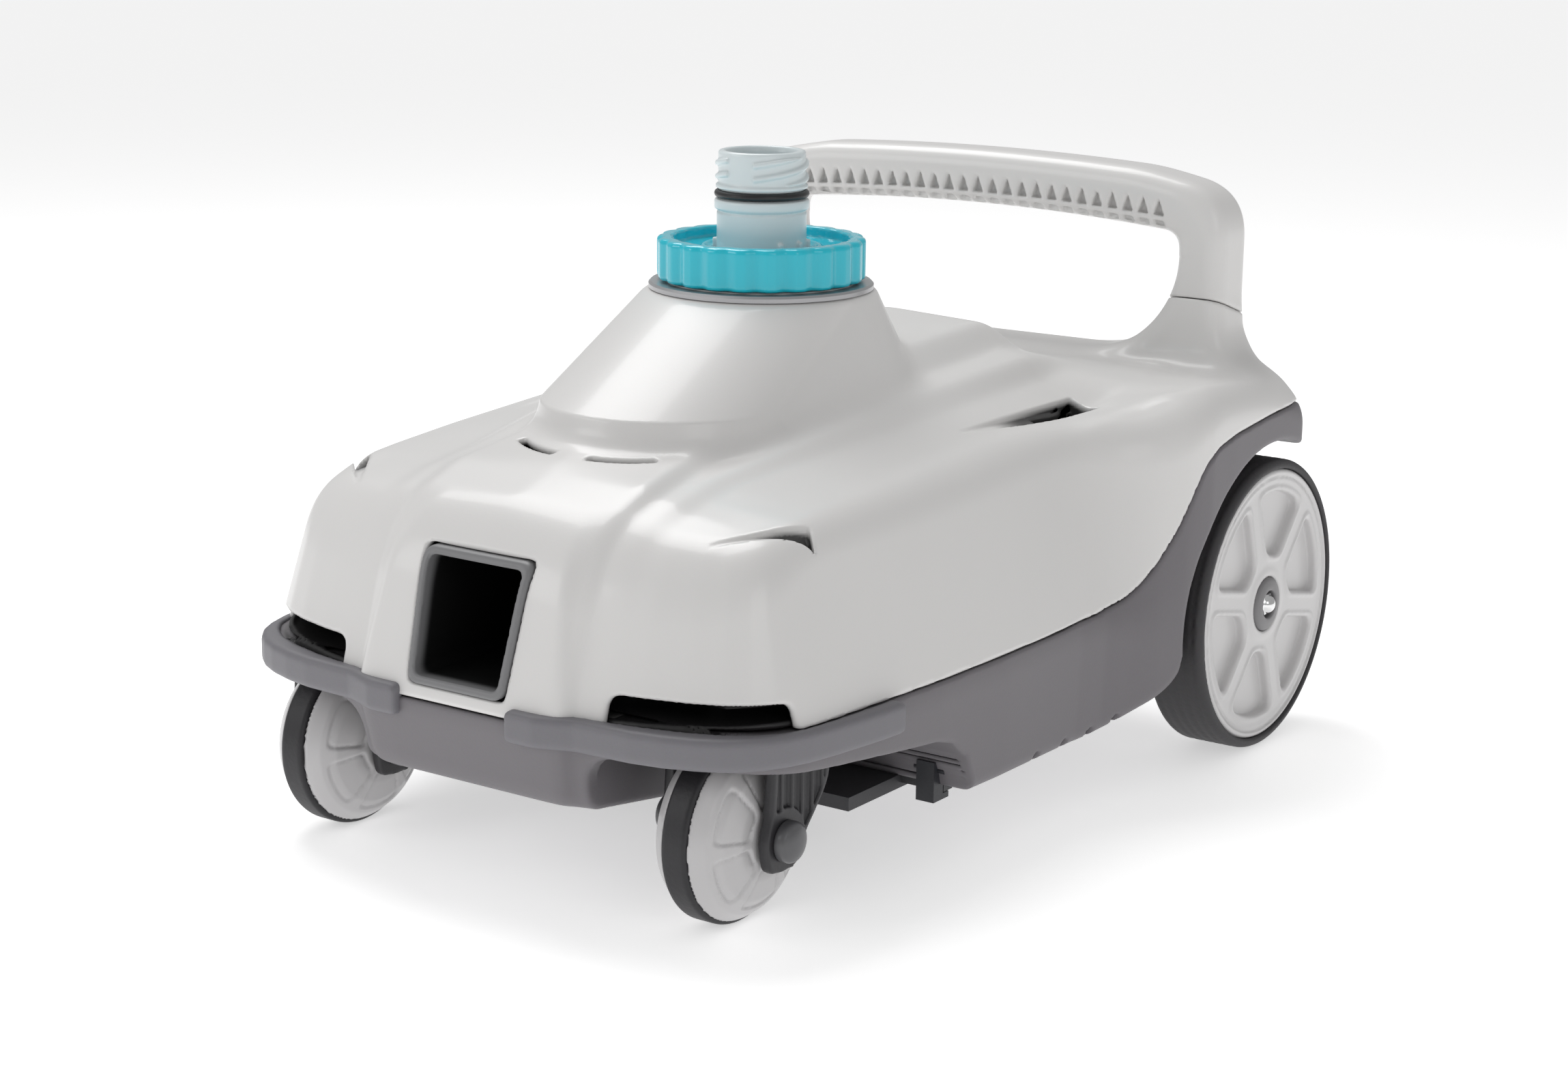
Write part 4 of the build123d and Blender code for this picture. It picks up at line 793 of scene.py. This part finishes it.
def axle_nut(x, y, z):
    """A domed hexagon nut on the end of the rear axle."""
    a, r, turn = around_rear(x, y, z)
    sector = math.pi / 3
    local = np.mod(turn, sector) - sector / 2
    flats = r * np.cos(local) - 5.02
    hexagon = smax(flats, np.abs(a - 12.0) - 2.5, 0.8)
    dome = np.sqrt((a - 13.2) ** 2 + r * r) - 4.7
    return np.maximum(smin(hexagon, dome, 0.5), -np.maximum(r - 4.02, a - 14))


make_pair("rear_disc", rear_disc, (140, 94, 2), (174, 230, 138), 1.0, "rear_wheel", DISC,
          ["rear_wheel"])
make_pair("rear_tread", rear_tyre, (140, 90, -2), (174, 234, 142), 1.25, "rear_wheel", TYRE,
          ["rear_tyre"])
make_pair("hub_cap", hub_cap, (164, 147, 55), (175, 177, 85), 0.55, "rear_wheel", HUB,
          ["rear_hub_cap"])
make_pair("axle_nut", axle_nut, (164, 154, 62), (177, 170, 78), 0.4, "chassis", CHROME,
          ["rear_axle_nut"])


# ---------------------------------------------------------------- front wheels
def around_front(x, y, z):
    """Distance out along a front wheel's axle, radius and turn round it."""
    return x - FRONT_X, np.hypot(y - FRONT_Y, z - FRONT_R), np.arctan2(z - FRONT_R, y - FRONT_Y)


def caster_half(x, y, z, sign):
    """One domed half of a front wheel: the outer half with sign 1, the inner half with sign -1."""
    a, r, turn = around_front(x, y, z)
    a = a * sign
    dome = line_at([(0, 20.2), (9, 20.2), (18, 19), (27, 16.3), (33, 12.2), (37.6, 6.2), (39, 4)], r)
    f = smax((a - dome) * 0.8, r - 37.5, 2.0)
    sector = 2 * math.pi / WHEEL_POCKETS
    local = np.mod(turn, sector) - sector / 2
    beside = (np.abs(local) - 0.40) * r
    pocket = smax(beside, smax(r - 30, 13 - r, 3), 3)
    f = f + 0.55 * ramp(-pocket / 1.0 + 0.5) + 0.5 * ramp(1 - np.abs(pocket) / 1.1)
    f = np.maximum(f, -a)
    groove = smax(np.maximum(r - 26.9, a - 8), 8 - r, 1)
    return np.maximum(np.maximum(f, -groove), np.maximum(3.05 - r, -np.maximum(a - 6.05, 29.9 - r)))


def caster_band(x, y, z):
    """The tyre between the halves of a front wheel."""
    a, r, _ = around_front(x, y, z)
    return np.maximum(smax(r - FRONT_R + 0.05, np.abs(a) - 5.95, 2.0), 30.0 - r)


def caster_fork(x, y, z):
    """The fork of a front wheel: two ribbed legs, the crown over the wheel and the steering stem."""
    a, r, _ = around_front(x, y, z)
    slope = np.clip((z - 38.8) / 40, 0, 1)
    front = -188.5 + 3 * slope
    back = -168.5 + 21 * ramp((z - 28) / 34)
    leg = smax(smax(front - y, y - back, 4), np.maximum(z - 82.5, 27 - z), 4)
    leg = smin(leg, r - CASTER_BOSS_R, 5)
    leg = smax(leg, np.abs(np.abs(a) - FORK_LEG_X) - 2.45, 1.2)
    sunk = smax(smax(front + 3.2 - y, y - back + 3.2, 3), np.maximum(z - 76, 13.6 - r), 2)
    leg = smax(leg, -smax(sunk, 25.4 - np.abs(a), 0.8), 0.6)
    ribs = np.maximum(np.abs(y + 166.5 - np.round((y + 166.5) / 7) * 7) - 0.9, sunk - 1)
    ribs = smax(ribs, np.abs(np.abs(a) - 25.3) - 1.6, 0.5)
    boss = smax(r - CASTER_BOSS_R, np.abs(np.abs(a) - 25.4) - 1.6, 0.8)
    over_wheel = smax(np.abs(a) - 26.9, np.maximum(-185.9 - y, y + 148.1), 4)
    crown_part = smax(over_wheel, np.abs(z - 80.8) - 1.75, 1.2)
    stem = np.maximum(np.hypot(x - FRONT_X, y - STEER_Y) - 7, np.maximum(80 - z, z - 118))
    f = np.minimum(smin(smin(np.minimum(leg, boss), crown_part, 2), ribs, 0.6), stem)
    clip = np.maximum(np.abs(z - 113.6) - 1, 5.5 - np.hypot(x - FRONT_X, y - STEER_Y))
    return np.maximum(np.maximum(f, -clip), CASTER_PIN_R - r)


def caster_caps(x, y, z):
    """The domed heads on both ends of a front wheel's axle."""
    a, r, _ = around_front(x, y, z)
    a = np.abs(a)
    dome = np.sqrt((a - 18.5) ** 2 + r * r) - 15.6
    f = smax(smax(dome, r - CASTER_CAP_R, 1.5), 27.05 - a, 0.6)
    f = smax(f, -(np.hypot(r - 7.0, a - 33.4) - 0.7), 0.4)
    return np.maximum(f, -np.maximum(r - CASTER_PIN_R, a - 32))


make_pair("caster_shell_outer", lambda x, y, z: caster_half(x, y, z, 1), (102, -219, -1), (126, -138, 79),
          0.9, "caster_wheel", LIGHT, ["caster_wheel_outer"])
make_pair("caster_shell_inner", lambda x, y, z: caster_half(x, y, z, -1), (80, -219, -1), (104, -138, 79),
          0.9, "caster_wheel", LIGHT, ["caster_wheel_inner"])
make_pair("caster_band", caster_band, (95, -219, -2), (111, -138, 80), 0.8, "caster_wheel",
          BAND, ["caster_tyre"])
make_pair("caster_yoke", caster_fork, (74, -192, 26), (132, -144, 120), 0.9, "caster", FORK,
          ["caster_fork"])
make_pair("caster_caps", caster_caps, (66, -190, 27), (140, -167, 51), 0.6, "caster", CAP,
          ["caster_axle_caps"])


# ---------------------------------------------------------------- stage, light and camera
def simple_floor():
    """A plain pale floor, faintly lit from within so that it stays even."""
    bpy.ops.mesh.primitive_plane_add(size=14, location=(0, 0, -0.0001))
    floor = bpy.context.object
    floor.name = "floor"
    pale = plastic("floor", (0.92, 0.92, 0.92), 0.6, grain=0.0, bump=0.0, tint=0.004)
    glow = pale.node_tree.nodes["Principled BSDF"]
    glow.inputs["Emission Color"].default_value = (1, 1, 1, 1)
    glow.inputs["Emission Strength"].default_value = 0.50
    floor.data.materials.append(pale)


def backdrop(tree, seen, lighting):
    """An even white world: bright where it is looked at, and dimmer as a light."""
    nodes, links = tree.nodes, tree.links
    ground = nodes["Background"]
    ground.inputs["Color"].default_value = (1, 1, 1, 1)
    path = nodes.new("ShaderNodeLightPath")
    level = nodes.new("ShaderNodeMapRange")
    level.inputs["To Min"].default_value = lighting
    level.inputs["To Max"].default_value = seen
    links.new(path.outputs["Is Camera Ray"], level.inputs["Value"])
    links.new(level.outputs["Result"], ground.inputs["Strength"])


def light(name, place_at, size, power, aim=(0, 0, 0.1)):
    """A soft rectangular lamp that faces the machine."""
    data = bpy.data.lights.new(name, "AREA")
    data.shape = "RECTANGLE"
    data.size, data.size_y = size
    data.energy = power
    obj = bpy.data.objects.new(name, data)
    bpy.context.collection.objects.link(obj)
    obj.location = place_at
    obj.rotation_euler = (Vector(aim) - Vector(place_at)).to_track_quat("-Z", "Y").to_euler()


simple_floor()
world = bpy.data.worlds.new("studio")
bpy.context.scene.world = world
bpy.context.scene.view_settings.view_transform = "Standard"
world.use_nodes = True
backdrop(world.node_tree, seen=1.0, lighting=0.42)
light("key", (-0.7, 0.35, 1.6), (1.0, 1.0), 16)
light("fill", (1.5, -0.9, 0.9), (0.8, 0.8), 2.6)
light("front", (-0.9, -1.3, 0.8), (0.8, 0.6), 3.5)

CAMERA_AT = (0.75801, -1.07562, 0.42796)
YAW, PITCH, ROLL = (math.radians(a) for a in (35.0868, 13.7798, 0.5903))
cam_data = bpy.data.cameras.new("camera")
cam_data.lens, cam_data.sensor_width = 67.113, 36.0
camera = bpy.data.objects.new("camera", cam_data)
bpy.context.collection.objects.link(camera)
camera.location = CAMERA_AT
forward = Vector((-math.sin(YAW) * math.cos(PITCH), math.cos(YAW) * math.cos(PITCH), -math.sin(PITCH)))
right = Vector((math.cos(YAW), math.sin(YAW), 0))
up = right.cross(forward)
right, up = (right * math.cos(ROLL) + up * math.sin(ROLL)), (up * math.cos(ROLL) - right * math.sin(ROLL))
matrix = camera.matrix_world.to_3x3()
matrix.col[0], matrix.col[1], matrix.col[2] = right, up, -forward
camera.rotation_euler = matrix.to_euler()
bpy.context.scene.camera = camera
